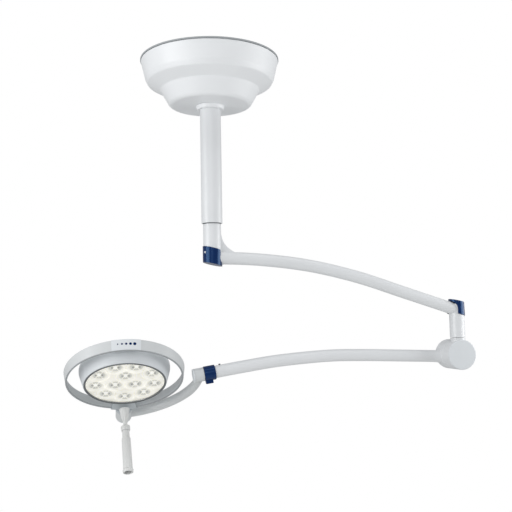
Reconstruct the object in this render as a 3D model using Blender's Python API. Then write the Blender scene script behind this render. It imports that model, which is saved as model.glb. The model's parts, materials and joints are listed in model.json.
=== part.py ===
"""Ceiling-mounted dental examination light, modelled as its separate pieces.

The origin is the centre of the ceiling face, +Z points up and +X runs from the ceiling pole to the
elbow. The lamp hangs in its folded position: the lower arm lies back under the upper arm, and the
head looks down towards -Y. All lengths are metres.
"""

import math

import bmesh
import bpy
from mathutils import Matrix, Vector

# ---------------------------------------------------------------- driving dimensions

GAP = 0.0003                 # clearance between neighbouring pieces

# ceiling mount
PLATE_R, PLATE_T = 0.110, 0.006
ANCHOR_PITCH_R, ANCHOR_HOLE_R = 0.095, 0.00525
CABLE_ENTRY_R, CABLE_ENTRY_Y = 0.010, 0.072
SOCKET_R, SOCKET_LENGTH = 0.033, 0.046
PIPE_R, PIPE_BORE_R, PIPE_END_Z = 0.025, 0.0222, -0.397
CANOPY_R, CANOPY_DEPTH, CANOPY_WALL = 0.1670, 0.1120, 0.003

# upper arm
ARM_R, ARM_BORE_R = 0.015, 0.0125
CHANNEL_R, PASSAGE_R = 0.0118, 0.0068        # cable way along the upper arm and into its ends
HUB_R, SPIGOT_R, HUB_BORE_R = 0.0213, 0.0165, 0.008
HUB_TOP_Z, HUB_END_Z, SPIGOT_TOP_Z = -0.3988, -0.4880, -0.2900
CAP_TILT = math.radians(13)
POLE_CAP_R, POLE_CAP_HEIGHT, POLE_CAP_Z = 0.0230, 0.0368, -0.4946
UPPER_ARM_ROUTE = [(0.0, -0.4785), (0.121, -0.4841), (0.242, -0.4990), (0.365, -0.5274),
                   (0.492, -0.5682), (0.629, -0.6125)]      # (x, z) of the centre line

# elbow and drum
ELBOW_X, ELBOW_R, ELBOW_NECK_R, ELBOW_BORE_R, SPINDLE_R = 0.629, 0.0188, 0.0168, 0.0148, 0.012
ELBOW_TOP_Z, ELBOW_SEAM_Z, SPINDLE_TOP_Z = -0.5970, -0.6820, -0.6300
ELBOW_CAP_R, ELBOW_CAP_HEIGHT, ELBOW_CAP_Z = 0.0198, 0.0330, -0.5890
DRUM_R, DRUM_BORE_R, DRUM_Z = 0.0377, 0.0337, -0.7253
DRUM_FRONT_Y, DRUM_SPLIT_Y, DRUM_REAR_Y = -0.0235, 0.0120, 0.0562
AXLE_R = 0.009

# lower arm, in the elbow's frame, where x runs along the arm
LOWER_ARM_YAW = math.radians(-2.0)
LOWER_ARM_Y = 0.034
LOWER_ARM_ROUTE = [(-0.0200, -0.7306), (-0.1432, -0.7254), (-0.2400, -0.7216), (-0.3336, -0.7206),
                   (-0.4568, -0.7288), (-0.5500, -0.7411), (-0.6320, -0.7537)]
END_X, END_Z, END_SLOPE = -0.6320, -0.7537, math.radians(8.7)
COLLAR_R, COLLAR_LENGTH = 0.0180, 0.0275

# yoke, head and handle, in the head's frame: z up through the back of the head, y to its far side
HEAD_TILT, HEAD_TURN = math.radians(33.6), math.radians(-0.5)
HEAD_CENTRE = (-0.8331, 0.034, -0.7736)      # centre of the untilted glass, in the elbow's frame
YOKE_TUBE_R, YOKE_KNUCKLE_Y, YOKE_AXIS_Z = 0.0120, 0.1800, 0.0170
YOKE_BULGE, YOKE_SLIM = 0.028, 0.80          # how far the arc stands outside an ellipse; its slimmer end
KNUCKLE_R, KNUCKLE_NEAR_Y, KNUCKLE_FAR_Y = 0.0203, 0.1520, 0.1925
FACE_R, HOUSING_R, HOUSING_H = 0.0980, 0.1090, 0.0440
RING_LOW_R, RING_TOP_R, RING_WALL = 0.1380, 0.1425, 0.0035
RING_LOW_Z, RING_TOP_Z = 0.0088, 0.0352
LENS_R, OUTER_LENS_PITCH, INNER_LENS_PITCH = 0.0235, 0.0700, 0.0270
OUTER_LENSES, INNER_LENSES = 9, 3
HANDLE_Y, HANDLE_LEAN = 0.1225, math.radians(-1.6)
STEM_END_Z, KNOB_END_Z, SLEEVE_END_Z = -0.0417, -0.0597, -0.1668

# ---------------------------------------------------------------- finishes: colour, roughness, metallic

FINISHES = {
    "white_powder_coat": ((0.86, 0.87, 0.88), 0.38, 0.0),
    "white_plastic": ((0.84, 0.86, 0.88), 0.42, 0.0),
    "grey_plastic": ((0.55, 0.56, 0.58), 0.50, 0.0),
    "blue_plastic": ((0.015, 0.045, 0.16), 0.22, 0.0),
    "dark_plastic": ((0.05, 0.05, 0.055), 0.45, 0.0),
    "nylon": ((0.78, 0.77, 0.72), 0.50, 0.0),
    "steel": ((0.60, 0.60, 0.61), 0.30, 1.0),
    "dark_steel": ((0.12, 0.12, 0.13), 0.35, 1.0),
    "aluminium": ((0.75, 0.76, 0.77), 0.35, 1.0),
    "glass": ((0.90, 0.92, 0.92), 0.05, 0.0),
    "optic": ((0.95, 0.93, 0.85), 0.12, 0.0),
    "circuit_board": ((0.03, 0.22, 0.10), 0.45, 0.0),
    "cable_jacket": ((0.72, 0.72, 0.71), 0.55, 0.0),
}


def clear_scene():
    for obj in list(bpy.data.objects):
        bpy.data.objects.remove(obj, do_unlink=True)


def finish_material(node, finish):
    """A Principled material of the node's own."""
    colour, roughness, metallic = FINISHES[finish]
    material = bpy.data.materials.new(node)
    material.use_nodes = True
    shader = material.node_tree.nodes["Principled BSDF"]
    shader.inputs["Base Color"].default_value = (*colour, 1.0)
    shader.inputs["Roughness"].default_value = roughness
    shader.inputs["Metallic"].default_value = metallic
    return material


def frame_at(name, location, rotation=None, parent=None):
    """An empty that carries the pieces of one body or one direction."""
    empty = bpy.data.objects.new(name, None)
    empty.empty_display_size = 0.03
    empty.matrix_basis = Matrix.Translation(location) @ (rotation or Matrix())
    empty.parent = parent
    bpy.context.collection.objects.link(empty)
    return empty


def piece(name, mesh, finish, parent, matrix=None):
    """One named piece from a mesh, in its parent's frame."""
    mesh.name = name
    mesh.shade_smooth()
    mesh.set_sharp_from_angle(angle=math.radians(35))
    obj = bpy.data.objects.new(name, mesh)
    obj.data.materials.append(finish_material(name, finish))
    obj.parent = parent
    obj.matrix_basis = matrix or Matrix()
    bpy.context.collection.objects.link(obj)
    return obj


def helper(mesh, parent, matrix=None):
    """A shape used only to join to, or cut from, another."""
    obj = bpy.data.objects.new("shape", mesh)
    obj.parent = parent
    obj.matrix_basis = matrix or Matrix()
    obj.hide_render = True
    obj.display_type = "WIRE"
    bpy.context.collection.objects.link(obj)
    return obj


def combine(obj, operation, shapes, solver="EXACT"):
    for shape in shapes:
        modifier = obj.modifiers.new(operation.lower(), "BOOLEAN")
        modifier.operation = operation
        modifier.solver = solver
        modifier.object = shape


def join(obj, *shapes):
    combine(obj, "UNION", shapes)


def cut(obj, *shapes, solver="EXACT"):
    combine(obj, "DIFFERENCE", shapes, solver)


# ---------------------------------------------------------------- shapes

def closed_mesh(bm):
    bmesh.ops.remove_doubles(bm, verts=bm.verts, dist=1e-6)
    bmesh.ops.recalc_face_normals(bm, faces=bm.faces)
    mesh = bpy.data.meshes.new("mesh")
    bm.to_mesh(mesh)
    bm.free()
    return mesh


def turned(outline, sides=24, arc=2 * math.pi, start=0.0):
    """A solid turned about Z from a closed outline of (radius, height) points."""
    bm = bmesh.new()
    verts = [bm.verts.new((r * math.cos(start), r * math.sin(start), z)) for r, z in outline]
    full = arc > 2 * math.pi - 1e-6
    if full:
        edges = [bm.edges.new(pair) for pair in zip(verts, verts[1:] + verts[:1])
                 if pair[0].co.xy.length > 1e-7 or pair[1].co.xy.length > 1e-7]
        geometry = verts + edges
    else:
        geometry = [bm.faces.new(verts)]
    bmesh.ops.spin(bm, geom=geometry, cent=(0, 0, 0), axis=(0, 0, 1), angle=arc, steps=sides,
                   use_merge=full, use_duplicate=False)
    return closed_mesh(bm)


def rounded(outline, steps=2):
    """The outline with each (radius, height, fillet) corner replaced by an arc."""
    points = []
    for index, corner in enumerate(outline):
        here = Vector(corner[:2])
        if len(corner) < 3:
            points.append(tuple(here))
            continue
        before = (Vector(outline[index - 1][:2]) - here).normalized()
        after = (Vector(outline[(index + 1) % len(outline)][:2]) - here).normalized()
        half = before.angle(after) / 2
        reach = corner[2] / math.tan(half)
        centre = here + (before + after).normalized() * corner[2] / math.sin(half)
        first, last = here + before * reach - centre, here + after * reach - centre
        for step in range(steps + 1):
            points.append(tuple(centre + first.slerp(last, step / steps) * corner[2]))
    return points


def disc(radius, low, high, edge=0.0, sides=24):
    """A solid round plate or pin along Z."""
    if edge:
        outline = rounded([(0, low), (radius, low, edge), (radius, high, edge), (0, high)], 2)
    else:
        outline = [(0, low), (radius, low), (radius, high), (0, high)]
    return turned(outline, sides)


def collar(radius, bore, low, high, sides=24):
    """A round tube or ring along Z."""
    return turned([(bore, low), (radius, low), (radius, high), (bore, high)], sides)


def block(size, centre=(0, 0, 0), edge=0.0):
    bm = bmesh.new()
    bmesh.ops.create_cube(bm, size=1.0, matrix=Matrix.Translation(centre) @ Matrix.Diagonal((*size, 1)))
    if edge:
        bmesh.ops.bevel(bm, geom=bm.edges[:], offset=edge, segments=2, profile=0.5, affect="EDGES",
                        material=-1)
    return closed_mesh(bm)


def extruded(outline, low, high):
    """A solid of a closed (x, y) outline between two heights."""
    bm = bmesh.new()
    face = bm.faces.new([bm.verts.new((x, y, low)) for x, y in outline])
    top = bmesh.ops.extrude_face_region(bm, geom=[face])
    bmesh.ops.translate(bm, verts=[v for v in top["geom"] if isinstance(v, bmesh.types.BMVert)],
                        vec=(0, 0, high - low))
    return closed_mesh(bm)


def smooth_route(points, count):
    """Evenly many points on one smooth curve through the given ones."""
    points = [Vector(p) for p in points]
    ends = [2 * points[0] - points[1]] + points + [2 * points[-1] - points[-2]]
    route = []
    for index in range(count + 1):
        place = index / count * (len(points) - 1)
        segment = min(int(place), len(points) - 2)
        t = place - segment
        a, b, c, d = ends[segment:segment + 4]
        route.append(0.5 * ((2 * b) + (c - a) * t + (2 * a - 5 * b + 4 * c - d) * t ** 2
                            + (3 * b - a - 3 * c + d) * t ** 3))
    return route


def tube(route, radius, resolution, taper=None):
    """A round bar along a route, with filled ends. taper is each point's share of the radius."""
    curve = bpy.data.curves.new("route", "CURVE")
    curve.dimensions = "3D"
    curve.bevel_depth = radius
    curve.bevel_resolution = resolution
    curve.use_fill_caps = True
    spline = curve.splines.new("POLY")
    spline.points.add(len(route) - 1)
    for point, place, share in zip(spline.points, route, taper or [1.0] * len(route)):
        point.co = (*place, 1.0)
        point.radius = share
    obj = bpy.data.objects.new("route", curve)
    bpy.context.collection.objects.link(obj)
    bm = bmesh.new()
    bm.from_mesh(bpy.data.meshes.new_from_object(obj))
    bpy.data.objects.remove(obj, do_unlink=True)
    return closed_mesh(bm)


def along(axis, location=(0, 0, 0)):
    """A matrix that turns +Z to the given direction and moves it to a place."""
    turn = Vector((0, 0, 1)).rotation_difference(Vector(axis)).to_matrix().to_4x4()
    return Matrix.Translation(location) @ turn


def screw(name, finish, parent, matrix, head_r=0.003, head_h=0.0015, shank_r=0.0015, length=0.006):
    """A small screw: its head sits above z = 0 and its shank goes down."""
    outline = [(0, -length), (shank_r, -length), (shank_r, 0), (head_r, 0), (head_r, head_h * 0.7),
               (head_r * 0.85, head_h), (0, head_h)]
    return piece(name, turned(outline, 10), finish, parent, matrix)


# ---------------------------------------------------------------- ceiling mount

def ceiling_mount(body):
    plate = piece("ceiling_plate", disc(PLATE_R, -PLATE_T, 0, 0.0, 36), "steel", body)
    socket = collar(SOCKET_R, PIPE_R + GAP, -SOCKET_LENGTH, -PLATE_T + 0.001)
    join(plate, helper(socket, body))
    for index in range(4):
        angle = math.radians(45 + 90 * index)
        place = (ANCHOR_PITCH_R * math.cos(angle), ANCHOR_PITCH_R * math.sin(angle), 0)
        cut(plate, helper(disc(ANCHOR_HOLE_R, -0.02, 0.02, sides=12), body, Matrix.Translation(place)))
    cut(plate, helper(disc(CABLE_ENTRY_R, -0.02, 0.02, sides=16), body,
                      Matrix.Translation((0, CABLE_ENTRY_Y, 0))))
    pipe = piece("ceiling_pipe", collar(PIPE_R, PIPE_BORE_R, PIPE_END_Z, -PLATE_T - GAP, 32),
                 "white_powder_coat", body)
    for index, side in enumerate((1, -1), 1):
        hole = along((side, 0, 0), (side * 0.0215, 0, -0.032))
        cut(plate, helper(disc(0.0033, 0, 0.02, sides=10), body, hole))
        cut(pipe, helper(disc(0.0033, -0.005, 0.02, sides=10), body, hole))
        screw(f"pipe_clamp_screw_{index}", "dark_steel", body,
              along((side, 0, 0), (side * (SOCKET_R + GAP), 0, -0.032)),
              head_r=0.0055, head_h=0.004, shank_r=0.003, length=0.0105)
    cut(pipe, helper(disc(0.006, 0, 0.04, sides=12), body, along((0, 1, 0), (0, 0, -0.060))))
    flange = [(SPIGOT_R + GAP, PIPE_END_Z - 0.0014), (HUB_R, PIPE_END_Z - 0.0014),
              (HUB_R, PIPE_END_Z - GAP), (PIPE_BORE_R - GAP, PIPE_END_Z - GAP),
              (PIPE_BORE_R - GAP, PIPE_END_Z + 0.024), (SPIGOT_R + GAP, PIPE_END_Z + 0.024)]
    piece("pipe_bush_lower", turned(flange), "dark_plastic", body)
    piece("pipe_bush_upper", collar(PIPE_BORE_R - GAP, SPIGOT_R + GAP, -0.3245, -0.3020), "nylon", body)

    wall, low = CANOPY_WALL, -CANOPY_DEPTH
    top = -0.0040 - GAP
    outer = [(CANOPY_R - 0.0012, top), (0.1632, -0.0140), (0.1556, -0.0460), (0.1500, -0.0575, 0.008),
             (0.1190, -0.0735, 0.004), (0.0975, low, 0.014), (PIPE_R + 2 * GAP, low)]
    inner = [(PIPE_R + 2 * GAP, low + wall), (0.0953, low + wall, 0.011), (0.1166, -0.0712, 0.004),
             (0.1472, -0.0555, 0.005), (0.1527, -0.0450), (0.1602, -0.0140), (CANOPY_R - 0.0042, top)]
    piece("canopy_shell", turned(rounded(outer) + rounded(inner, 1), 36), "white_plastic", body)
    piece("canopy_rim_seal", collar(CANOPY_R, CANOPY_R - 0.0055, -0.0040, -GAP, 36), "grey_plastic", body)
    lip = rounded([(PIPE_R + GAP, low - GAP - 0.009), (0.0315, low - GAP - 0.009, 0.003),
                   (0.0350, low - GAP), (PIPE_R + GAP, low - GAP)], 1)
    ring = piece("canopy_collar", turned(lip), "white_plastic", body)
    bore = along((0, 1, 0), (0, PIPE_R + 0.0005, low - 0.0050))
    cut(ring, helper(disc(0.0020, -0.003, 0.012, sides=12), body, bore))
    grub = disc(0.0017, 0.0003, 0.0055, sides=12)
    piece("canopy_collar_screw", grub, "dark_steel", body, bore)
    piece("power_supply", block((0.050, 0.110, 0.034), (0.066, 0, -PLATE_T - GAP - 0.017), 0.002),
          "aluminium", body)
    piece("terminal_block", block((0.024, 0.050, 0.020), (-0.068, 0, -PLATE_T - GAP - 0.010), 0.001),
          "white_plastic", body)


# ---------------------------------------------------------------- upper arm

def slanted_cap(name, parent, matrix, outline, height, openings):
    """A cup-shaped end cap, open where the arm leaves it towards +X.

    outline is its (radius, height) section. The floor and the rim are cut at a slant, and height is
    the distance between them.
    """
    cap = piece(name, turned(outline), "blue_plastic", parent, matrix)
    slope = matrix @ Matrix.Rotation(CAP_TILT, 4, "Y")
    size = (0.12, 0.12, 0.04)
    below, above = block(size, (0, 0, -size[2] / 2)), block(size, (0, 0, height + size[2] / 2))
    cut(cap, helper(below, parent, slope), helper(above, parent, slope))
    for shape, place in openings:
        cut(cap, helper(shape, parent, matrix @ place))
    return cap


def upper_arm(body):
    hub = [(HUB_BORE_R, HUB_END_Z), (HUB_R, HUB_END_Z), (HUB_R, HUB_TOP_Z), (SPIGOT_R, HUB_TOP_Z),
           (SPIGOT_R, -0.3010), (0.0150, -0.3010), (0.0150, -0.2992), (SPIGOT_R, -0.2992),
           (SPIGOT_R, SPIGOT_TOP_Z), (HUB_BORE_R, SPIGOT_TOP_Z)]
    arm = piece("upper_arm", turned(hub), "white_powder_coat", body)
    route = smooth_route([(x, 0, z) for x, z in UPPER_ARM_ROUTE], 15)
    weld = Vector((HUB_R * 0.6, 0, route[0].z - 0.0004))
    join(arm, helper(tube([weld] + route[1:], ARM_R, 5), body))
    gusset = [(0.012, -0.423), (0.0205, -0.423), (0.0228, -0.436), (0.0270, -0.4440), (0.0350, -0.4530),
              (0.0450, -0.4620), (0.0520, -0.4665), (0.0640, -0.4700), (0.0640, -0.482), (0.012, -0.482)]
    join(arm, helper(extruded(gusset, -0.0075, 0.0075), body, Matrix.Rotation(math.pi / 2, 4, "X")))
    at_elbow = Matrix.Translation((ELBOW_X, 0, 0))
    neck = helper(disc(ELBOW_NECK_R, ELBOW_SEAM_Z + 0.020, ELBOW_TOP_Z), body, at_elbow)
    sleeve = helper(disc(ELBOW_R, ELBOW_SEAM_Z, ELBOW_TOP_Z, sides=26), body, at_elbow)
    lid = Matrix.Translation((ELBOW_X, 0, ELBOW_CAP_Z)) @ Matrix.Rotation(math.pi, 4, "Y")
    under_rim = block((0.08, 0.08, 0.08), (0, 0, ELBOW_CAP_HEIGHT + 0.0010 - 0.04))
    cut(sleeve, helper(under_rim, body, lid @ Matrix.Rotation(CAP_TILT, 4, "Y")))
    join(arm, neck, sleeve)
    cut(arm, helper(disc(ELBOW_BORE_R, ELBOW_SEAM_Z - 0.01, ELBOW_TOP_Z + 0.01, sides=22), body, at_elbow))
    inner_end = route[-1] - (route[-1] - route[-2]) * 0.2
    cut(arm, helper(tube(route[:-1] + [inner_end], PASSAGE_R, 2), body), solver="MANIFOLD")
    cut(arm, helper(tube(route[1:-1], CHANNEL_R, 2), body), solver="MANIFOLD")
    ring = collar(0.0200, 0.0153, -0.3007, -0.2995, 24)
    piece("spigot_retaining_ring", ring, "dark_steel", body)

    base = Matrix.Translation((0, 0, POLE_CAP_Z))
    floor_z, rim_z = HUB_END_Z - GAP - POLE_CAP_Z, 0.0600
    cup = [(0, -0.0200), (POLE_CAP_R, -0.0200), (POLE_CAP_R, rim_z), (HUB_R + GAP, rim_z),
           (HUB_R + GAP, floor_z), (0, floor_z)]
    leave = Matrix.Translation((0, 0, route[0].z - POLE_CAP_Z)) @ Matrix.Rotation(math.radians(2.5), 4, "Y")
    passage = tube([(0, 0, 0), (0.040, 0, 0)], ARM_R + 0.0009, 6)
    slot = block((0.040, 2 * ARM_R + 0.0018, 0.060), (0.020, 0, 0.030))
    cap = slanted_cap("pole_cap", body, base, cup, POLE_CAP_HEIGHT, ((passage, leave), (slot, leave)))
    toward = Vector((-0.84, -0.54, 0)).normalized()
    seat = along(toward, toward * (POLE_CAP_R + GAP) + Vector((0, 0, -0.4668)))
    cut(cap, helper(disc(0.0019, -0.008, 0.006, sides=12), body, seat))
    cut(arm, helper(disc(0.0019, -0.009, 0.006, sides=12), body, seat), solver="MANIFOLD")
    screw("pole_cap_screw", "white_plastic", body, seat, head_r=0.0026, head_h=0.0010, length=0.0075)

    floor_z = ELBOW_CAP_Z - ELBOW_TOP_Z - GAP
    inner_r = ELBOW_NECK_R + GAP
    cup = [(0, -0.0200), (ELBOW_CAP_R - 0.0010, -0.0200), (ELBOW_CAP_R + 0.0016, rim_z),
           (inner_r, rim_z), (inner_r, floor_z), (0, floor_z)]
    window = rounded([(0.0048, 0.0600), (0.0048, -0.0015, 0.0220), (0.0500, -0.0015), (0.0500, 0.0600)], 5)
    flat = extruded(window, -0.03, 0.03)
    rise = Matrix.Translation((0, 0, ELBOW_CAP_Z - route[-1].z)) @ Matrix.Rotation(math.radians(18), 4, "Y")
    passage = tube([(-0.003, 0, 0), (0.040, 0, 0)], ARM_R + 0.0006, 6)
    cap = slanted_cap("elbow_cap", body, lid, cup, ELBOW_CAP_HEIGHT,
                      ((flat, Matrix.Rotation(math.pi / 2, 4, "X")), (passage, rise)))
    toward = Vector((0.60, 0.80, 0))
    seat = along(toward, toward * (ELBOW_CAP_R + 0.0008) + Vector((ELBOW_X, 0, -0.6120)))
    cut(cap, helper(disc(0.0019, -0.008, 0.006, sides=12), body, seat))
    cut(arm, helper(disc(0.0019, -0.012, 0.006, sides=12), body, seat), solver="MANIFOLD")
    screw("elbow_cap_screw", "white_plastic", body, seat, head_r=0.0026, head_h=0.0010, length=0.0050)

    brake = along((-0.31, 0, -0.95), (0.6060, 0, -0.6200))
    cut(arm, helper(disc(0.0028, -0.014, 0.004, sides=12), body, brake), solver="MANIFOLD")
    piece("elbow_brake_screw", disc(0.0025, -0.006, 0.0025, 0.0, 12), "dark_steel", body, brake)
    for name, low in (("elbow_bush_lower", -0.6815), ("elbow_bush_upper", -0.6530)):
        shape = collar(ELBOW_BORE_R - GAP, SPINDLE_R + GAP, low, low + 0.014)
        piece(name, shape, "nylon", body, at_elbow)
    cable = [Vector((0.0, 0, -0.300)), Vector((0.0, 0, -0.440))]
    bend = [Vector((0.0010, 0, -0.4700)), Vector((0.0040, 0, -0.4780)), Vector((0.0120, 0, -0.4806))]
    inside = [p for p in route if 0.04 < p.x < 0.600]
    piece("upper_arm_cable", tube(cable + bend + inside, 0.0032, 2), "cable_jacket", body)


# ---------------------------------------------------------------- elbow and drum

def elbow(body):
    """The fixed half of the drum with its neck and spindle, in the elbow's frame."""
    to_y = Matrix.Translation((0, 0, DRUM_Z)) @ Matrix.Rotation(-math.pi / 2, 4, "X")
    front, split = DRUM_FRONT_Y + 0.003, DRUM_SPLIT_Y - GAP
    shell = rounded([(AXLE_R + GAP, 0.0065), (DRUM_BORE_R, 0.0065), (DRUM_BORE_R, front),
                     (DRUM_R, front), (DRUM_R, split, 0.0015), (AXLE_R + GAP, split)], 2)
    drum = piece("drum_housing", turned(shell, 30), "white_powder_coat", body, to_y)
    bore, neck = 0.0070, -0.6868
    spindle = [(bore, neck), (ELBOW_R, neck), (ELBOW_R, ELBOW_SEAM_Z - 0.0012),
               (SPINDLE_R, ELBOW_SEAM_Z - 0.0012), (SPINDLE_R, -0.6360), (0.0108, -0.6360),
               (0.0108, -0.6342), (SPINDLE_R, -0.6342), (SPINDLE_R, SPINDLE_TOP_Z), (bore, SPINDLE_TOP_Z)]
    join(drum, helper(turned(spindle), body))
    root_r, back = ELBOW_R - 0.0008, split - 0.0007
    around = [math.radians(-180 + 18 * n) for n in range(11)]
    outline = [(root_r * math.cos(a), root_r * math.sin(a)) for a in around]
    root = extruded(outline + [(root_r * 0.80, back), (-root_r * 0.80, back)], -0.6960, neck + 0.0020)
    join(drum, helper(root, body))
    cut(drum, helper(disc(bore, -0.700, -0.680, sides=20), body))
    cut(drum, helper(disc(DRUM_BORE_R - 0.0004, front - 0.01, 0.0064, sides=24), body, to_y))
    piece("elbow_retaining_ring", collar(0.0140, 0.0111, -0.6357, -0.6345, 24), "dark_steel", body)
    cover = rounded([(0, DRUM_FRONT_Y), (DRUM_R - 0.0002, DRUM_FRONT_Y, 0.002),
                     (DRUM_R - 0.0002, front - GAP), (DRUM_BORE_R - GAP, front - GAP),
                     (DRUM_BORE_R - GAP, front + 0.0014), (DRUM_BORE_R - 0.003, front + 0.0014),
                     (DRUM_BORE_R - 0.003, front), (0, front)])
    piece("drum_front_cover", turned(cover, 30), "white_plastic", body, to_y)
    axle = [(0, -0.0080), (0.0140, -0.0080), (0.0140, 0.0), (AXLE_R, 0.0), (AXLE_R, 0.0318),
            (0.0078, 0.0318), (0.0078, 0.0336), (AXLE_R, 0.0336), (AXLE_R, 0.0480), (0, 0.0480)]
    piece("drum_axle", turned(axle, 24), "steel", body, to_y)
    for index in (1, 2):
        low = 0.0003 + (index - 1) * 0.0031
        dish = [(AXLE_R + GAP, low), (0.0160, low + 0.0012), (0.0160, low + 0.0024),
                (AXLE_R + GAP, low + 0.0012)]
        piece(f"disc_spring_{index}", turned(dish, 24), "steel", body, to_y)
    piece("axle_lock_ring", collar(0.0125, 0.0081, 0.0321, 0.0333, 20), "dark_steel", body, to_y)
    turns, wire, radius = 4, 0.0018, 0.0235
    coil = [Vector((radius * math.cos(a), radius * math.sin(a), 0.0210 + 0.0052 * a / (2 * math.pi)))
            for a in [2 * math.pi * n / 12 for n in range(12 * turns + 1)]]
    piece("balance_spring", tube(coil, wire, 1), "dark_steel", body, to_y)


# ---------------------------------------------------------------- lower arm

def lower_arm(body):
    """The moving half of the drum with the arm tube, about the drum's axis."""
    lift = Matrix.Translation((0, 0, -DRUM_Z))      # from the elbow's frame to the drum's axis
    to_y = Matrix.Rotation(-math.pi / 2, 4, "X")
    split, rear = DRUM_SPLIT_Y + GAP, DRUM_REAR_Y - 0.003
    shell = rounded([(0.0123, split), (DRUM_R, split, 0.0015), (DRUM_R, rear), (DRUM_BORE_R, rear),
                     (DRUM_BORE_R, split + 0.005), (0.0165, split + 0.005), (0.0165, 0.0300),
                     (0.0123, 0.0300)], 2)
    arm = piece("lower_arm", turned(shell, 30), "white_powder_coat", body, to_y)
    route = smooth_route([(x, LOWER_ARM_Y, z) for x, z in LOWER_ARM_ROUTE], 18)
    weld = route[0].lerp(route[1], 0.30)
    join(arm, helper(tube([weld] + route[1:], ARM_R, 5), body, lift))
    cut(arm, helper(tube(route[:-1] + [route[-1].lerp(route[-2], 0.3)], ARM_BORE_R, 3), body, lift))
    cut(arm, helper(disc(DRUM_BORE_R - 0.0004, split + 0.0052, rear + 0.02, sides=24), body, to_y))
    boss = collar(0.0165, 0.0123, split + 0.0045, 0.0300)
    join(arm, helper(boss, body, to_y))
    cover = rounded([(0, DRUM_REAR_Y), (0, rear), (DRUM_BORE_R - 0.003, rear),
                     (DRUM_BORE_R - 0.003, rear - 0.002), (DRUM_BORE_R - GAP, rear - 0.002),
                     (DRUM_BORE_R - GAP, rear + GAP), (DRUM_R - 0.0002, rear + GAP),
                     (DRUM_R - 0.0002, DRUM_REAR_Y, 0.002)])
    piece("drum_rear_cover", turned(cover, 30), "white_plastic", body, to_y)
    piece("arm_bush", collar(0.0120, AXLE_R + GAP, split + 0.0002, 0.0312, 24), "nylon", body, to_y)

    end = lift @ Matrix.Translation((END_X, LOWER_ARM_Y, END_Z)) @ along(
        (-math.cos(END_SLOPE), 0, -math.sin(END_SLOPE)))
    half = COLLAR_LENGTH / 2
    band = rounded([(ARM_R + GAP, -half), (COLLAR_R, -half, 0.0012), (COLLAR_R, half, 0.0012),
                    (ARM_R + GAP, half)], 1)
    sleeve = piece("end_collar", turned(band), "blue_plastic", body, end)
    tab = block((0.012, 0.016, 0.018), (-COLLAR_R - 0.0005, 0, 0.0035))
    join(sleeve, helper(tab, body, end))
    cut(sleeve, helper(disc(ARM_R + GAP, -0.03, 0.03), body, end))
    down = end @ along((-1, 0, 0), (-COLLAR_R - 0.0068, 0, 0.0035))
    cut(sleeve, helper(disc(0.0024, -0.004, 0.004, sides=12), body, down),
        helper(disc(0.0020, -0.012, 0.004, sides=12), body, down))
    screw("end_collar_screw", "dark_steel", body,
          down @ Matrix.Translation((0, 0, -0.0035)), head_r=0.0021, head_h=0.0015, length=0.0050)
    cut(arm, helper(disc(ARM_BORE_R, -0.024, 0.030), body, end))
    brake = end @ along((1, 0, 0), (ARM_R + 0.0002, 0, -0.0270))
    cut(arm, helper(disc(0.0028, -0.010, 0.004, sides=12), body, brake))
    piece("end_brake_screw", disc(0.0025, -0.0045, 0.0025, 0.0, 12), "dark_steel", body, brake)
    piece("yoke_bush", collar(ARM_BORE_R - GAP, 0.0098, -0.018, 0.0122, 24), "nylon", body, end)
    cable = [p for p in route if -0.590 < p.x < -0.055]
    piece("lower_arm_cable", tube(cable, 0.0032, 2), "cable_jacket", body, lift)
    return end


# ---------------------------------------------------------------- yoke

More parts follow.
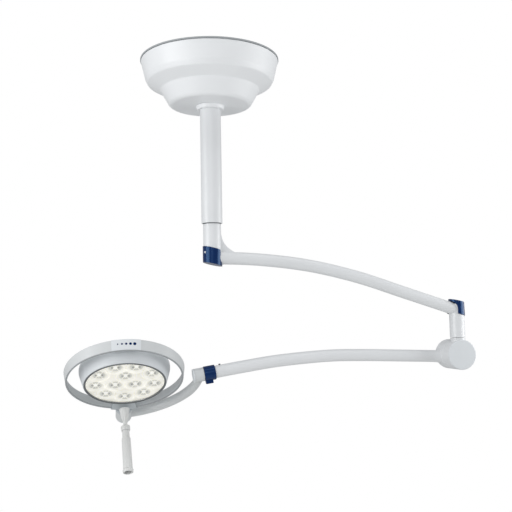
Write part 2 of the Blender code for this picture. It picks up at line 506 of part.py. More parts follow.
def yoke(body, head_frame):
    """The C-shaped arm with its end piece and knuckle.

    The body's z runs from the lower arm's end towards the head. head_frame is the head's, in it.
    """
    start, length = COLLAR_LENGTH / 2 + 0.0005, 0.0230
    axle = [(0.0040, -0.0230), (0.0080, -0.0230), (0.0080, -0.0215), (0.0086, -0.0215),
            (0.0095, -0.0205), (0.0095, start), (0.0165, start), (0.0165, start + length),
            (0.0040, start + length)]
    arm = piece("yoke_arm", turned(axle), "white_powder_coat", body)
    centre = head_frame.translation
    to_start = Vector((0, 0, start + length * 0.45)) - centre
    to_knuckle = head_frame @ Vector((0, YOKE_KNUCKLE_Y, YOKE_AXIS_Z)) - centre
    arc = [centre + (to_start * math.cos(a) + to_knuckle * math.sin(a)) * (1 + YOKE_BULGE * math.sin(2 * a))
           for a in [math.radians(90 * n / 13) for n in range(14)]]
    slim = [min(1.0, YOKE_SLIM + (1 - YOKE_SLIM) * n / 4) for n in range(len(arc))]
    join(arm, helper(tube(arc, YOKE_TUBE_R, 4, slim), body))
    pivot = head_frame @ along((0, 1, 0), (0, 0, YOKE_AXIS_Z))
    near, far, step = KNUCKLE_NEAR_Y, KNUCKLE_FAR_Y, KNUCKLE_FAR_Y - 0.0115
    knuckle = rounded([(0.0100, near), (KNUCKLE_R, near, 0.0010), (KNUCKLE_R, far), (0.0142, far),
                       (0.0142, step), (0.0100, step)])
    join(arm, helper(turned(knuckle), body, pivot))
    cut(arm, helper(disc(0.0098, near - 0.003, step + 0.002, sides=20), body, pivot),
        helper(disc(0.0140, step + 0.0002, far + 0.003, sides=26), body, pivot))
    ring = collar(0.0093, 0.0083, -0.0229, -0.0217, 20)
    piece("yoke_retaining_ring", ring, "dark_steel", body)
    lid = rounded([(0, start + length + GAP), (0.0165, start + length + GAP),
                   (0.0165, start + length + 0.0038, 0.0015), (0, start + length + 0.0038)], 2)
    piece("yoke_end_cap", turned(lid, 24), "white_plastic", body)
    piece("knuckle_bush", collar(0.0093, 0.0073, near + GAP, step - 0.0015), "nylon", body, pivot)
    dome = rounded([(0, far - 0.0025), (0.0137, far - 0.0025), (0.0137, far + GAP), (KNUCKLE_R, far + GAP),
                    (KNUCKLE_R, far + 0.0050, 0.0040), (0, far + 0.0060)], 3)
    piece("knuckle_cap", turned(dome, 24), "white_plastic", body, pivot)


# ---------------------------------------------------------------- head

def ring_radius(height):
    """The outer radius of the slim band round the head, which widens a little towards the back."""
    return RING_LOW_R + (RING_TOP_R - RING_LOW_R) * (height - RING_LOW_Z) / (RING_TOP_Z - RING_LOW_Z)


def ring_profile(spare=0.0, top=RING_TOP_Z):
    """The band as (radius, height), grown by a clearance."""
    low, top = RING_LOW_Z - spare, top + spare
    return [(ring_radius(low) - RING_WALL - spare, low), (ring_radius(low) + spare, low),
            (ring_radius(top) + spare, top), (ring_radius(top) - RING_WALL - spare, top)]


def sector(outline, width, radius, facing, sides=6):
    """A block of a turned outline, as wide as given at a radius, round the given direction."""
    arc = 2 * math.asin(width / 2 / radius)
    return turned(outline, sides, arc, facing - arc / 2)


def head(body):
    near, far = -math.pi / 2, math.pi / 2
    wall = 0.003
    housing = rounded([(FACE_R - 0.0048, 0.0), (FACE_R - 0.0008, 0.0), (FACE_R + 0.0002, 0.0012),
                       (HOUSING_R - 0.0006, 0.0360, 0.020), (HOUSING_R - 0.0014, HOUSING_H - 0.002),
                       (HOUSING_R - 0.0040, HOUSING_H), (HOUSING_R - 0.0075, HOUSING_H),
                       (HOUSING_R - wall - 0.0006, 0.0360), (FACE_R - wall, 0.0040),
                       (FACE_R - 0.0048, 0.0040)], 2)
    shell = piece("head_housing", turned(housing, 36), "white_plastic", body)
    seat = HOUSING_H + GAP
    back = rounded([(0, 0.0700), (0, 0.0730), (0.0600, 0.0715, 0.080), (HOUSING_R - 0.0045, 0.0560, 0.012),
                    (HOUSING_R - 0.0040, seat), (HOUSING_R - 0.0072, seat),
                    (HOUSING_R - 0.0080, 0.0540, 0.009), (0.0590, 0.0685, 0.078)], 2)
    lid = piece("head_back_cover", turned(back, 30), "white_plastic", body)
    cut(lid, helper(disc(0.0090, 0.060, 0.080, sides=24), body))
    bezel = [(FACE_R - 0.0075, -0.0018), (FACE_R - 0.0022, -0.0018), (FACE_R - 0.0010, -GAP),
             (FACE_R - 0.0052, -GAP), (FACE_R - 0.0052, 0.0009), (FACE_R - 0.0075, 0.0009)]
    piece("lens_bezel", turned(bezel, 36), "dark_plastic", body)
    piece("cover_glass", disc(FACE_R - 0.0053, 0.0012, 0.0036, sides=32), "glass", body)
    optic = piece("lens_array", disc(FACE_R - 0.0056, 0.0043, 0.0066, sides=32), "optic", body)
    rows = ((OUTER_LENSES, OUTER_LENS_PITCH, far), (INNER_LENSES, INNER_LENS_PITCH, near))
    for count, pitch, first in rows:
        for index in range(count):
            angle = first + 2 * math.pi * index / count
            place = Matrix.Translation((pitch * math.cos(angle), pitch * math.sin(angle), 0))
            cone = turned([(0, 0.0060), (LENS_R - 0.0015, 0.0060), (LENS_R * 0.55, 0.0165), (0, 0.0165)], 12)
            join(optic, helper(cone, body, place))
    piece("led_board", disc(0.0880, 0.0172, 0.0188, sides=32), "circuit_board", body)
    sink = piece("heat_sink", disc(0.0880, 0.0192, 0.0245, sides=32), "aluminium", body)
    for index in range(9):
        offset = (index - 4) * 0.0180
        length = 2 * math.sqrt(0.0850 ** 2 - offset ** 2) - 0.004
        fin = block((length, 0.0028, 0.0190), (0, offset, 0.0330))
        join(sink, helper(fin, body))
    piece("driver_board", block((0.080, 0.060, 0.0016), (0, 0, 0.0436)), "circuit_board", body)

    ring = turned(ring_profile(), 48)
    piece("ring_rail", ring, "white_powder_coat", body)
    plate_low, plate_top = RING_LOW_Z + 0.0006, RING_TOP_Z - 0.0006
    badge = [(ring_radius(plate_low) + GAP, plate_low), (ring_radius(plate_low) + 0.0018, plate_low),
             (ring_radius(plate_top) + 0.0018, plate_top), (ring_radius(plate_top) + GAP, plate_top)]
    piece("ring_badge", sector(badge, 0.066, RING_TOP_R, near), "white_plastic", body)
    low, high = 0.0250, 0.0345
    bridge = [(HOUSING_R - 0.0004, low), (ring_radius(low) - RING_WALL - GAP, low),
              (ring_radius(high) - RING_WALL - GAP, high), (HOUSING_R + 0.0006, high)]
    piece("near_bracket", sector(bridge, 0.058, RING_LOW_R, near), "white_plastic", body)

    wrap = [(FACE_R + 0.0077, 0.0075), (0.1425, 0.0075), (0.1480, 0.0130), (0.1480, 0.0330),
            (HOUSING_R + 0.0008, 0.0330), (HOUSING_R + 0.0006, 0.0300)]
    clamp = piece("far_bracket", sector(wrap, 0.064, RING_TOP_R, far), "white_plastic", body)
    hollow = sector(ring_profile(0.0005, RING_TOP_Z + 0.010), 0.090, RING_TOP_R, far, 12)
    pivot = along((0, 1, 0), (0, 0, YOKE_AXIS_Z))
    face, pin_end = KNUCKLE_NEAR_Y - 0.0004, KNUCKLE_FAR_Y - 0.0065
    groove = pin_end - 0.0040
    pin = turned([(0, 0.1450), (0.0165, 0.1450), (0.0165, face), (0.0070, face), (0.0070, groove),
                  (0.0060, groove), (0.0060, groove + 0.0018), (0.0070, groove + 0.0018),
                  (0.0070, pin_end), (0, pin_end)], 24)
    wedge = extruded([(-0.0210, 0.0180), (-0.0205, 0.0095), (-0.0115, -0.0005), (0.0115, -0.0005),
                      (0.0205, 0.0095), (0.0210, 0.0180)], -face - 0.0002, -0.1440)
    join(clamp, helper(pin, body, pivot), helper(wedge, body, Matrix.Rotation(math.pi / 2, 4, "X")))
    cut(clamp, helper(hollow, body))
    ring = collar(0.0120, 0.0063, groove + GAP, groove + 0.0015, 20)
    piece("pivot_lock_ring", ring, "dark_steel", body, pivot)

    at_handle = Matrix.Translation((0, HANDLE_Y, 0)) @ Matrix.Rotation(HANDLE_LEAN, 4, "Y")
    cone = rounded([(0, STEM_END_Z - 0.0440), (0.0050, STEM_END_Z - 0.0440), (0.0050, STEM_END_Z),
                    (0.0125, -0.0040), (0.0130, -0.0027), (0, -0.0027)])
    stem = piece("handle_stem", turned(cone, 24), "white_plastic", body, at_handle)
    for index in range(8):
        angle = math.radians(45 * index + 22.5)
        direction = Vector((math.cos(angle), math.sin(angle), 0))
        flute = tube([direction * 0.0150 + Vector((0, 0, -0.004)),
                      direction * 0.0078 + Vector((0, 0, STEM_END_Z + 0.006))], 0.0030, 2)
        cut(stem, helper(flute, body, at_handle))


def handle(sleeve_body, release_body):
    """The removable sleeve on the stem, and the ring above it that lets it go."""
    top = KNOB_END_Z - 0.0005
    neck_end = -0.0780
    end = SLEEVE_END_Z
    sleeve = rounded([(0.0053, top), (0.0053, top - 0.024), (0.0080, top - 0.028), (0.0080, end),
                      (0.0122, end), (0.0126, end + 0.0060, 0.0015), (0.0112, end + 0.0085, 0.002),
                      (0.0106, neck_end - 0.0030, 0.002), (0.0088, neck_end, 0.001), (0.0086, top)], 1)
    piece("handle_sleeve", turned(sleeve, 20), "white_plastic", sleeve_body)
    knob_top = STEM_END_Z - 0.0045
    knob = rounded([(0.0053, KNOB_END_Z), (0.0106, KNOB_END_Z, 0.001), (0.0112, KNOB_END_Z + 0.0035),
                    (0.0102, KNOB_END_Z + 0.0042), (0.0102, KNOB_END_Z + 0.0056),
                    (0.0112, KNOB_END_Z + 0.0063), (0.0110, knob_top - 0.0025, 0.002),
                    (0.0078, knob_top), (0.0053, knob_top)], 1)
    piece("release_ring", turned(knob, 20), "white_plastic", release_body)


def power_button(body):
    """A push button whose flange keeps it under the back cover."""
    outline = [(0, 0.0665), (0.0105, 0.0665), (0.0105, 0.0688), (0.0086, 0.0688), (0.0086, 0.0755),
               (0.0074, 0.0765), (0, 0.0765)]
    piece("power_button", turned(outline, 24), "blue_plastic", body)


# ---------------------------------------------------------------- assembly

def main():
    clear_scene()
    base = frame_at("mount_frame", (0, 0, 0))
    ceiling_mount(base)
    pole = frame_at("pole_axis", (0, 0, 0), parent=base)
    upper_arm(pole)
    elbow_axis = frame_at("elbow_axis", (ELBOW_X, 0, 0), Matrix.Rotation(LOWER_ARM_YAW, 4, "Z"), pole)
    elbow(elbow_axis)
    drum_axis = frame_at("drum_axis", (0, 0, DRUM_Z), parent=elbow_axis)
    end = lower_arm(drum_axis)
    yoke_axis = frame_at("yoke_axis", end.translation, end.to_3x3().to_4x4(), drum_axis)
    to_head = Matrix.Translation(Vector(HEAD_CENTRE) - Vector((0, 0, DRUM_Z))) @ Matrix.Rotation(
        -HEAD_TILT, 4, "X")
    in_yoke = end.inverted() @ to_head
    yoke(yoke_axis, in_yoke)
    pivot = in_yoke @ Vector((0, 0, YOKE_AXIS_Z))
    facing = in_yoke.to_3x3().to_4x4() @ Matrix.Rotation(HEAD_TURN, 4, "Y")
    head_axis = frame_at("head_axis", pivot, facing, yoke_axis)
    glass = frame_at("glass_centre", (0, 0, -YOKE_AXIS_Z), parent=head_axis)
    head(glass)
    lean = Matrix.Rotation(HANDLE_LEAN, 4, "Y")
    grip_axis = frame_at("grip_axis", (0, HANDLE_Y, 0), lean, glass)
    release_axis = frame_at("release_axis", (0, HANDLE_Y, 0), lean, glass)
    handle(grip_axis, release_axis)
    power_button(frame_at("button_axis", (0, 0, 0), parent=glass))
    bpy.context.view_layer.update()


main()
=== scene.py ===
"""The finished look of a ceiling-mounted dental examination light.

The frame gives the bodies, the joints and the hidden pieces. Each piece that can be seen is modelled
again here with smooth turns and rounded edges, and takes the place of its node. All lengths are
metres, and each shape stands in its own body's axes until its place is put into its mesh.
"""

import json
import math

import bmesh
import bpy
from bpy.props import FloatProperty, FloatVectorProperty, IntProperty, PointerProperty
from mathutils import Matrix, Vector


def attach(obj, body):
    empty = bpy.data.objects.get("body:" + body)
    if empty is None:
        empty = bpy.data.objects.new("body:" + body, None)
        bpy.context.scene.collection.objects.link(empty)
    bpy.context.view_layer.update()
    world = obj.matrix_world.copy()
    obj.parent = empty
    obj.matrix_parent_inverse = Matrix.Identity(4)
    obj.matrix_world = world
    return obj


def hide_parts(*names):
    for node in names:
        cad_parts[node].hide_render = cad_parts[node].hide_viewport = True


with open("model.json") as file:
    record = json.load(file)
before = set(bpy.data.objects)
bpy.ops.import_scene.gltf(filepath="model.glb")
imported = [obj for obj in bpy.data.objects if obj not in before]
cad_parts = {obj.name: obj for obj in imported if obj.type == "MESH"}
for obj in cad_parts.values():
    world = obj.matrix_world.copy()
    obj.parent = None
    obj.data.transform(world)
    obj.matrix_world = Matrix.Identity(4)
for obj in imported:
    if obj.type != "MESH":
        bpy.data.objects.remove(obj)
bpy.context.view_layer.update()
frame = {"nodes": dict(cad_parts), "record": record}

bl_info = {
    "name": "Dental Examination Light",
    "version": (1, 0, 0),
    "blender": (4, 5, 0),
    "location": "View3D > Sidebar > Dental Light",
    "description": "Builds the smooth outer pieces, finishes and studio for a ceiling-mounted light",
    "category": "Object",
}

GAP = 0.0003                     # clearance between neighbouring pieces
MM = 0.001

# ---------------------------------------------------------------- sizes shared with the frame

PIPE_R, PIPE_BORE_R, PIPE_END_Z = 0.025, 0.0222, -0.397
CANOPY_R, CANOPY_DEPTH, CANOPY_WALL = 0.1670, 0.1120, 0.003
ARM_R, ARM_BORE_R, CHANNEL_R = 0.015, 0.0125, 0.0118
HUB_R, SPIGOT_R, HUB_BORE_R = 0.0213, 0.0165, 0.008
HUB_TOP_Z, HUB_END_Z, SPIGOT_TOP_Z = -0.3988, -0.4880, -0.2900
CAP_TILT = math.radians(13)
POLE_CAP_R, POLE_CAP_HEIGHT, POLE_CAP_Z = 0.0230, 0.0368, -0.4946
UPPER_ARM_ROUTE = [(0.0, -0.4785), (0.121, -0.4841), (0.242, -0.4990), (0.365, -0.5274),
                   (0.492, -0.5682), (0.629, -0.6125)]
ELBOW_X, ELBOW_R, ELBOW_NECK_R, ELBOW_BORE_R, SPINDLE_R = 0.629, 0.0188, 0.0168, 0.0148, 0.012
ELBOW_TOP_Z, ELBOW_SEAM_Z, SPINDLE_TOP_Z = -0.5970, -0.6820, -0.6300
ELBOW_CAP_R, ELBOW_CAP_HEIGHT, ELBOW_CAP_Z = 0.0198, 0.0330, -0.5890
DRUM_R, DRUM_BORE_R, DRUM_Z = 0.0377, 0.0337, -0.7253
DRUM_FRONT_Y, DRUM_SPLIT_Y, DRUM_REAR_Y, AXLE_R = -0.0235, 0.0120, 0.0562, 0.009
LOWER_ARM_YAW, LOWER_ARM_Y = math.radians(-2.0), 0.034
LOWER_ARM_ROUTE = [(-0.0200, -0.7306), (-0.1432, -0.7254), (-0.2400, -0.7216), (-0.3336, -0.7206),
                   (-0.4568, -0.7288), (-0.5500, -0.7411), (-0.6320, -0.7537)]
END_X, END_Z, END_SLOPE = -0.6320, -0.7537, math.radians(8.7)
COLLAR_R, COLLAR_LENGTH = 0.0180, 0.0275
HEAD_TILT, HEAD_TURN = math.radians(33.6), math.radians(-0.5)
HEAD_CENTRE = Vector((-0.8331, 0.034, -0.7736))
YOKE_TUBE_R, YOKE_KNUCKLE_Y, YOKE_AXIS_Z = 0.0120, 0.1800, 0.0170
YOKE_BULGE, YOKE_SLIM = 0.028, 0.80
KNUCKLE_R, KNUCKLE_NEAR_Y, KNUCKLE_FAR_Y = 0.0203, 0.1520, 0.1925
FACE_R, HOUSING_R, HOUSING_H = 0.0980, 0.1090, 0.0440
RING_LOW_R, RING_TOP_R, RING_WALL = 0.1380, 0.1425, 0.0035
RING_LOW_Z, RING_TOP_Z, RING_SIDES = 0.0088, 0.0352, 192
LENS_R, OUTER_LENS_PITCH, INNER_LENS_PITCH = 0.0235, 0.0700, 0.0270
LENS_SHIFT = 0.0070            # the lit chips seem this much nearer, for they lie deep behind the lenses
HANDLE_Y, HANDLE_LEAN = 0.1225, math.radians(-1.6)
STEM_END_Z, KNOB_END_Z, SLEEVE_END_Z = -0.0417, -0.0597, -0.1668
NEAR, FAR = -math.pi / 2, math.pi / 2     # towards and away from the user, round the head

# ---------------------------------------------------------------- studio

CAMERA_PLACE = (-0.3142, -1.7754, -0.6299)
CAMERA_YAW, CAMERA_PITCH, CAMERA_ROLL = (math.radians(a) for a in (-13.324, 4.862, -1.122))
FLOOR_R, FLOOR_X, FLOOR_Y = 1.9, 0.1, 0.1
LIGHTS_AIM = (0.15, 0.0, -0.55)


def along(axis, location=(0, 0, 0)):
    """A matrix that turns +Z to the given direction and moves it to a place."""
    turn = Vector((0, 0, 1)).rotation_difference(Vector(axis)).to_matrix().to_4x4()
    return Matrix.Translation(location) @ turn


# the bodies' axes at rest
AT_ELBOW = Matrix.Translation((ELBOW_X, 0, 0)) @ Matrix.Rotation(LOWER_ARM_YAW, 4, "Z")
DRUM_TO_Y = AT_ELBOW @ Matrix.Translation((0, 0, DRUM_Z)) @ Matrix.Rotation(-math.pi / 2, 4, "X")
AT_END = AT_ELBOW @ Matrix.Translation((END_X, LOWER_ARM_Y, END_Z)) @ along(
    (-math.cos(END_SLOPE), 0, -math.sin(END_SLOPE)))
YOKE_HEAD = AT_ELBOW @ Matrix.Translation(HEAD_CENTRE) @ Matrix.Rotation(-HEAD_TILT, 4, "X")
AT_HEAD = (YOKE_HEAD @ Matrix.Translation((0, 0, YOKE_AXIS_Z)) @ Matrix.Rotation(HEAD_TURN, 4, "Y")
           @ Matrix.Translation((0, 0, -YOKE_AXIS_Z)))
AT_HANDLE = AT_HEAD @ Matrix.Translation((0, HANDLE_Y, 0)) @ Matrix.Rotation(HANDLE_LEAN, 4, "Y")


# ---------------------------------------------------------------- settings

def linear(code):
    """The linear colour of an sRGB hex value."""
    channels = [int(code[n:n + 2], 16) / 255 for n in (0, 2, 4)]
    return [c / 12.92 if c <= 0.04045 else ((c + 0.055) / 1.055) ** 2.4 for c in channels]


def colour_setting(name, description, code):
    return FloatVectorProperty(name=name, description=description, subtype="COLOR", size=3,
                               min=0.0, max=1.0, default=linear(code))


def power_setting(name, description, watts):
    return FloatProperty(name=name, description=description, default=watts, min=0.0, max=500.0,
                         unit="POWER")


def count_setting(name, description, default, least, most):
    return IntProperty(name=name, description=description, default=default, min=least, max=most)


class LightFinishes(bpy.types.PropertyGroup):
    """The colours of the finishes."""

    powder_coat: colour_setting("Powder coat", "Paint of the pipe, arms, drum and ring", "E3E5E7")
    head_coat: colour_setting("Head coat", "Paint of the yoke and the grip ring", "D0D3D4")
    canopy: colour_setting("Canopy plastic", "Moulded canopy and its stop ring", "F0F2F4")
    shell_plastic: colour_setting("Shell plastic", "Moulded housing and covers", "DDE1E4")
    # painted shade: the bracket's grey is darker than the shell plastic to stand in for the shade on it
    bracket: colour_setting("Bracket plastic", "Moulded pivot bracket", "BBC1C5")
    grip_plastic: colour_setting("Grip plastic", "Moulded handle and stem", "DDDEDD")
    accent: colour_setting("Accent", "Glossy end caps, collar and button", "0E2654")
    # this grey also paints the shade line along the grip ring's lower edge
    seal: colour_setting("Seal", "Soft edge between canopy and ceiling", "A4A8AB")
    lamp: colour_setting("Lamp", "Tint of the lit lens plate", "FFFDF7")
    floor: colour_setting("Floor", "Plain floor of the studio", "F2F2F0")


class LightSizes(bpy.types.PropertyGroup):
    """How finely the pieces are turned, and the details that the frame leaves plain."""

    sides: count_setting("Sides", "Facets round a turned piece", 112, 24, 256)
    edge: FloatProperty(name="Edge", description="Rounding of moulded edges", default=0.0012,
                        min=0.0002, max=0.003, unit="LENGTH")
    outer_lenses: count_setting("Outer lenses", "Lenses in the outer circle", 9, 3, 16)
    inner_lenses: count_setting("Inner lenses", "Lenses in the inner circle", 3, 1, 6)
    flutes: count_setting("Flutes", "Grooves round the handle's stem", 8, 3, 16)


class LightStage(bpy.types.PropertyGroup):
    """The studio."""

    floor_drop: FloatProperty(name="Floor drop", description="Floor below the ceiling face",
                              default=2.4, min=1.5, max=4.0, unit="LENGTH")
    left_light: power_setting("Left light", "Power of the softbox on the left", 23.0)
    right_light: power_setting("Right light", "Power of the softbox on the right", 25.0)
    low_light: power_setting("Low light", "Power of the softbox near the floor", 2.5)
    front_light: power_setting("Front light", "Power of the softbox behind the camera", 9.0)
    top_light: power_setting("Top light", "Power of the overhead softbox", 15.0)
    surround: FloatProperty(name="Surround", description="Brightness of the room on the object",
                            default=0.40, min=0.0, max=2.0)
    focal_length: FloatProperty(name="Focal length", description="Camera lens", default=53.446,
                                min=20.0, max=200.0, unit="CAMERA")


def finishes():
    return bpy.context.scene.dental_light_finishes


def sizes():
    return bpy.context.scene.dental_light_sizes


def lens_circles():
    """How many lenses each circle has, its radius and the direction of its first lens."""
    return ((sizes().outer_lenses, OUTER_LENS_PITCH, FAR), (sizes().inner_lenses, INNER_LENS_PITCH, NEAR))


# ---------------------------------------------------------------- materials

def add_node(material, kind, inputs=None, **settings):
    """Adds a node. inputs gives each socket a value, or the output that feeds it."""
    node = material.node_tree.nodes.new(kind)
    for key, value in settings.items():
        setattr(node, key, value)
    for name, value in (inputs or {}).items():
        if isinstance(value, bpy.types.NodeSocket):
            material.node_tree.links.new(value, node.inputs[name])
        else:
            node.inputs[name].default_value = value
    return node


def speckle(material, spacing, detail=2.0):
    """Noise whose lumps are about one spacing apart, in metres."""
    place = add_node(material, "ShaderNodeTexCoord").outputs["Object"]
    return add_node(material, "ShaderNodeTexNoise",
                    {"Vector": place, "Scale": 1 / spacing, "Detail": detail}).outputs["Fac"]


def toned(material, colour, fac, spread):
    """The colour made a little darker and lighter by a pattern."""
    dark = [c * (1 - spread) for c in colour] + [1.0]
    light = [min(1.0, c * (1 + spread)) for c in colour] + [1.0]
    ramp = add_node(material, "ShaderNodeValToRGB", {"Fac": fac})
    ramp.color_ramp.elements[0].position, ramp.color_ramp.elements[0].color = 0.3, dark
    ramp.color_ramp.elements[1].position, ramp.color_ramp.elements[1].color = 0.7, light
    return ramp.outputs["Color"]


def finish(name, colour, roughness, grain, relief, mottle=0.08, spread=0.012, metallic=0.0, ior=1.5,
           coat=0.0, wear=0.03, gloss=0.5, gloss_tint=(1.0, 1.0, 1.0)):
    """A solid finish with a fine surface grain and a broad, faint change of tone.

    grain is the grain's spacing, relief its depth and mottle the broad pattern's spacing, in metres.
    """
    material = bpy.data.materials.new(name)
    material.use_nodes = True
    shader = material.node_tree.nodes["Principled BSDF"]
    shader.inputs["Metallic"].default_value = metallic
    if not metallic:
        shader.inputs["IOR"].default_value = ior
    shader.inputs["Specular IOR Level"].default_value = gloss
    shader.inputs["Specular Tint"].default_value = (*gloss_tint, 1.0)
    shader.inputs["Coat Weight"].default_value = coat
    shader.inputs["Coat Roughness"].default_value = 0.08
    broad = speckle(material, mottle)
    link = material.node_tree.links.new
    link(toned(material, colour, broad, spread), shader.inputs["Base Color"])
    rubbed = add_node(material, "ShaderNodeMapRange",
                      {"Value": broad, "To Min": max(0.02, roughness - wear), "To Max": roughness + wear})
    link(rubbed.outputs["Result"], shader.inputs["Roughness"])
    bump = add_node(material, "ShaderNodeBump", {"Height": speckle(material, grain, 3.0), "Distance": relief,
                                                 "Strength": 1.0})
    link(bump.outputs["Normal"], shader.inputs["Normal"])
    return material


def lens_distance(material, maths, x, y, count, pitch, first):
    """The offset from the nearest of a circle of lenses, and its length, in metres."""
    step = 2 * math.pi / count
    turns = maths("DIVIDE", maths("SUBTRACT", maths("ARCTAN2", y, x), first), step)
    angle = maths("MULTIPLY_ADD", maths("ROUND", turns), step, first)
    across = maths("SUBTRACT", x, maths("MULTIPLY", maths("COSINE", angle), pitch))
    upward = maths("SUBTRACT", y, maths("MULTIPLY", maths("SINE", angle), pitch))
    offset = add_node(material, "ShaderNodeCombineXYZ", {"X": across, "Y": upward}).outputs[0]
    reach = add_node(material, "ShaderNodeVectorMath", {0: offset}, operation="LENGTH").outputs["Value"]
    return across, upward, reach


def lit_acrylic():
    """Moulded clear acrylic lenses over lit LEDs: a warm, pale glow with a bright spot and two short
    shadows of the chip's leads in each lens, and paler arcs where neighbouring lenses overlap."""
    material = bpy.data.materials.new("lit_moulded_acrylic")
    material.use_nodes = True
    shader = material.node_tree.nodes["Principled BSDF"]
    shader.inputs["IOR"].default_value = 1.49
    shader.inputs["Roughness"].default_value = 0.18
    place = add_node(material, "ShaderNodeUVMap", uv_map="face").outputs["UV"]
    spread = add_node(material, "ShaderNodeVectorMath", {0: place, 1: (0.5, 0.5, 0)},
                      operation="SUBTRACT").outputs[0]
    metres = add_node(material, "ShaderNodeVectorMath", {0: spread, "Scale": 2 * FACE_R},
                      operation="SCALE").outputs[0]
    split = add_node(material, "ShaderNodeSeparateXYZ", {0: metres})

    def maths(operation, *values):
        return add_node(material, "ShaderNodeMath", dict(enumerate(values)), operation=operation).outputs[0]

    x, y = split.outputs["X"], maths("ADD", split.outputs["Y"], LENS_SHIFT)

    def fade(value, near, far, low=1.0, high=0.0):
        return add_node(material, "ShaderNodeMapRange",
                        {"Value": value, "From Min": near, "From Max": far, "To Min": low, "To Max": high},
                        interpolation_type="SMOOTHSTEP").outputs["Result"]

    glow = None
    for count, pitch, first in lens_circles():
        across, upward, reach = lens_distance(material, maths, x, y, count, pitch, first)
        sideways = maths("ABSOLUTE", across)
        flat = maths("ABSOLUTE", upward)
        spot = fade(maths("ADD", sideways, maths("MULTIPLY", flat, 0.8)), 3.5 * MM, 10.5 * MM, 0.60, 0.0)
        disc = fade(reach, 12 * MM, 18 * MM, -0.25, 0.0)
        side = maths("ABSOLUTE", maths("SUBTRACT", sideways, 6.0 * MM))
        mark = maths("MULTIPLY", fade(side, 1.8 * MM, 4.5 * MM), fade(flat, 1.6 * MM, 3.4 * MM))
        rings = [fade(maths("ABSOLUTE", maths("SUBTRACT", reach, at * MM)), 0.3 * MM, 1.5 * MM, gain, 0.0)
                 for at, gain in ((20.0, 0.16), (25.5, 0.20))]
        cross = maths("ABSOLUTE", maths("SUBTRACT", sideways, maths("MULTIPLY", flat, 0.62)))
        beams = maths("MULTIPLY", fade(cross, 0.4 * MM, 1.8 * MM, 0.30, 0.0), fade(reach, 24 * MM, 30 * MM))
        total = maths("ADD", maths("ADD", spot, disc), maths("ADD", *rings))
        total = maths("SUBTRACT", maths("ADD", total, beams), maths("MULTIPLY", mark, 0.60))
        glow = total if glow is None else maths("ADD", glow, total)
    cloud = add_node(material, "ShaderNodeTexNoise", {"Vector": place, "Scale": 11.0, "Detail": 3.0})
    glow = maths("ADD", glow, maths("MULTIPLY", maths("SUBTRACT", cloud.outputs["Fac"], 0.5), 0.40))
    ramp = add_node(material, "ShaderNodeValToRGB", {"Fac": maths("ADD", glow, 0.68)})
    stops = ramp.color_ramp.elements
    stops[0].position, stops[0].color = 0.0, (*linear("6E6D69"), 1)
    stops[1].position, stops[1].color = 1.0, (*finishes().lamp, 1)
    stops.new(0.52).color = (*linear("C9C8C1"), 1)
    stops.new(0.74).color = (*linear("E8E4DA"), 1)
    link = material.node_tree.links.new
    link(ramp.outputs["Color"], shader.inputs["Emission Color"])
    link(ramp.outputs["Color"], shader.inputs["Base Color"])
    shader.inputs["Emission Strength"].default_value = 0.72
    return material


def clear_glass():
    """Toughened float glass: clear, with a faint reflection."""
    material = bpy.data.materials.new("toughened_float_glass")
    material.use_nodes = True
    shader = material.node_tree.nodes["Principled BSDF"]
    shader.inputs["IOR"].default_value = 1.45
    shader.inputs["Transmission Weight"].default_value = 1.0
    shader.inputs["Roughness"].default_value = 0.03
    smear = speckle(material, 30 * MM)
    tint = toned(material, linear("FBFCFC"), smear, 0.01)
    material.node_tree.links.new(tint, shader.inputs["Base Color"])
    return material


def solder_masked_board():
    """Glass-epoxy board with solder mask: satin green with fine lighter copper tracks."""
    material = finish("solder_masked_epoxy", linear("1B5B39"), 0.42, 1.2 * MM, 0.03 * MM, 12 * MM, 0.06)
    shader = material.node_tree.nodes["Principled BSDF"]
    place = add_node(material, "ShaderNodeTexCoord").outputs["Object"]
    tracks = add_node(material, "ShaderNodeTexVoronoi", {"Vector": place, "Scale": 1 / (6 * MM)},
                      feature="DISTANCE_TO_EDGE")
    ramp = add_node(material, "ShaderNodeValToRGB", {"Fac": tracks.outputs["Distance"]})
    ramp.color_ramp.elements[0].position, ramp.color_ramp.elements[0].color = 0.04, (*linear("3F8A5E"), 1)
    ramp.color_ramp.elements[1].position, ramp.color_ramp.elements[1].color = 0.06, (*linear("1B5B39"), 1)
    material.node_tree.links.new(ramp.outputs["Color"], shader.inputs["Base Color"])
    return material


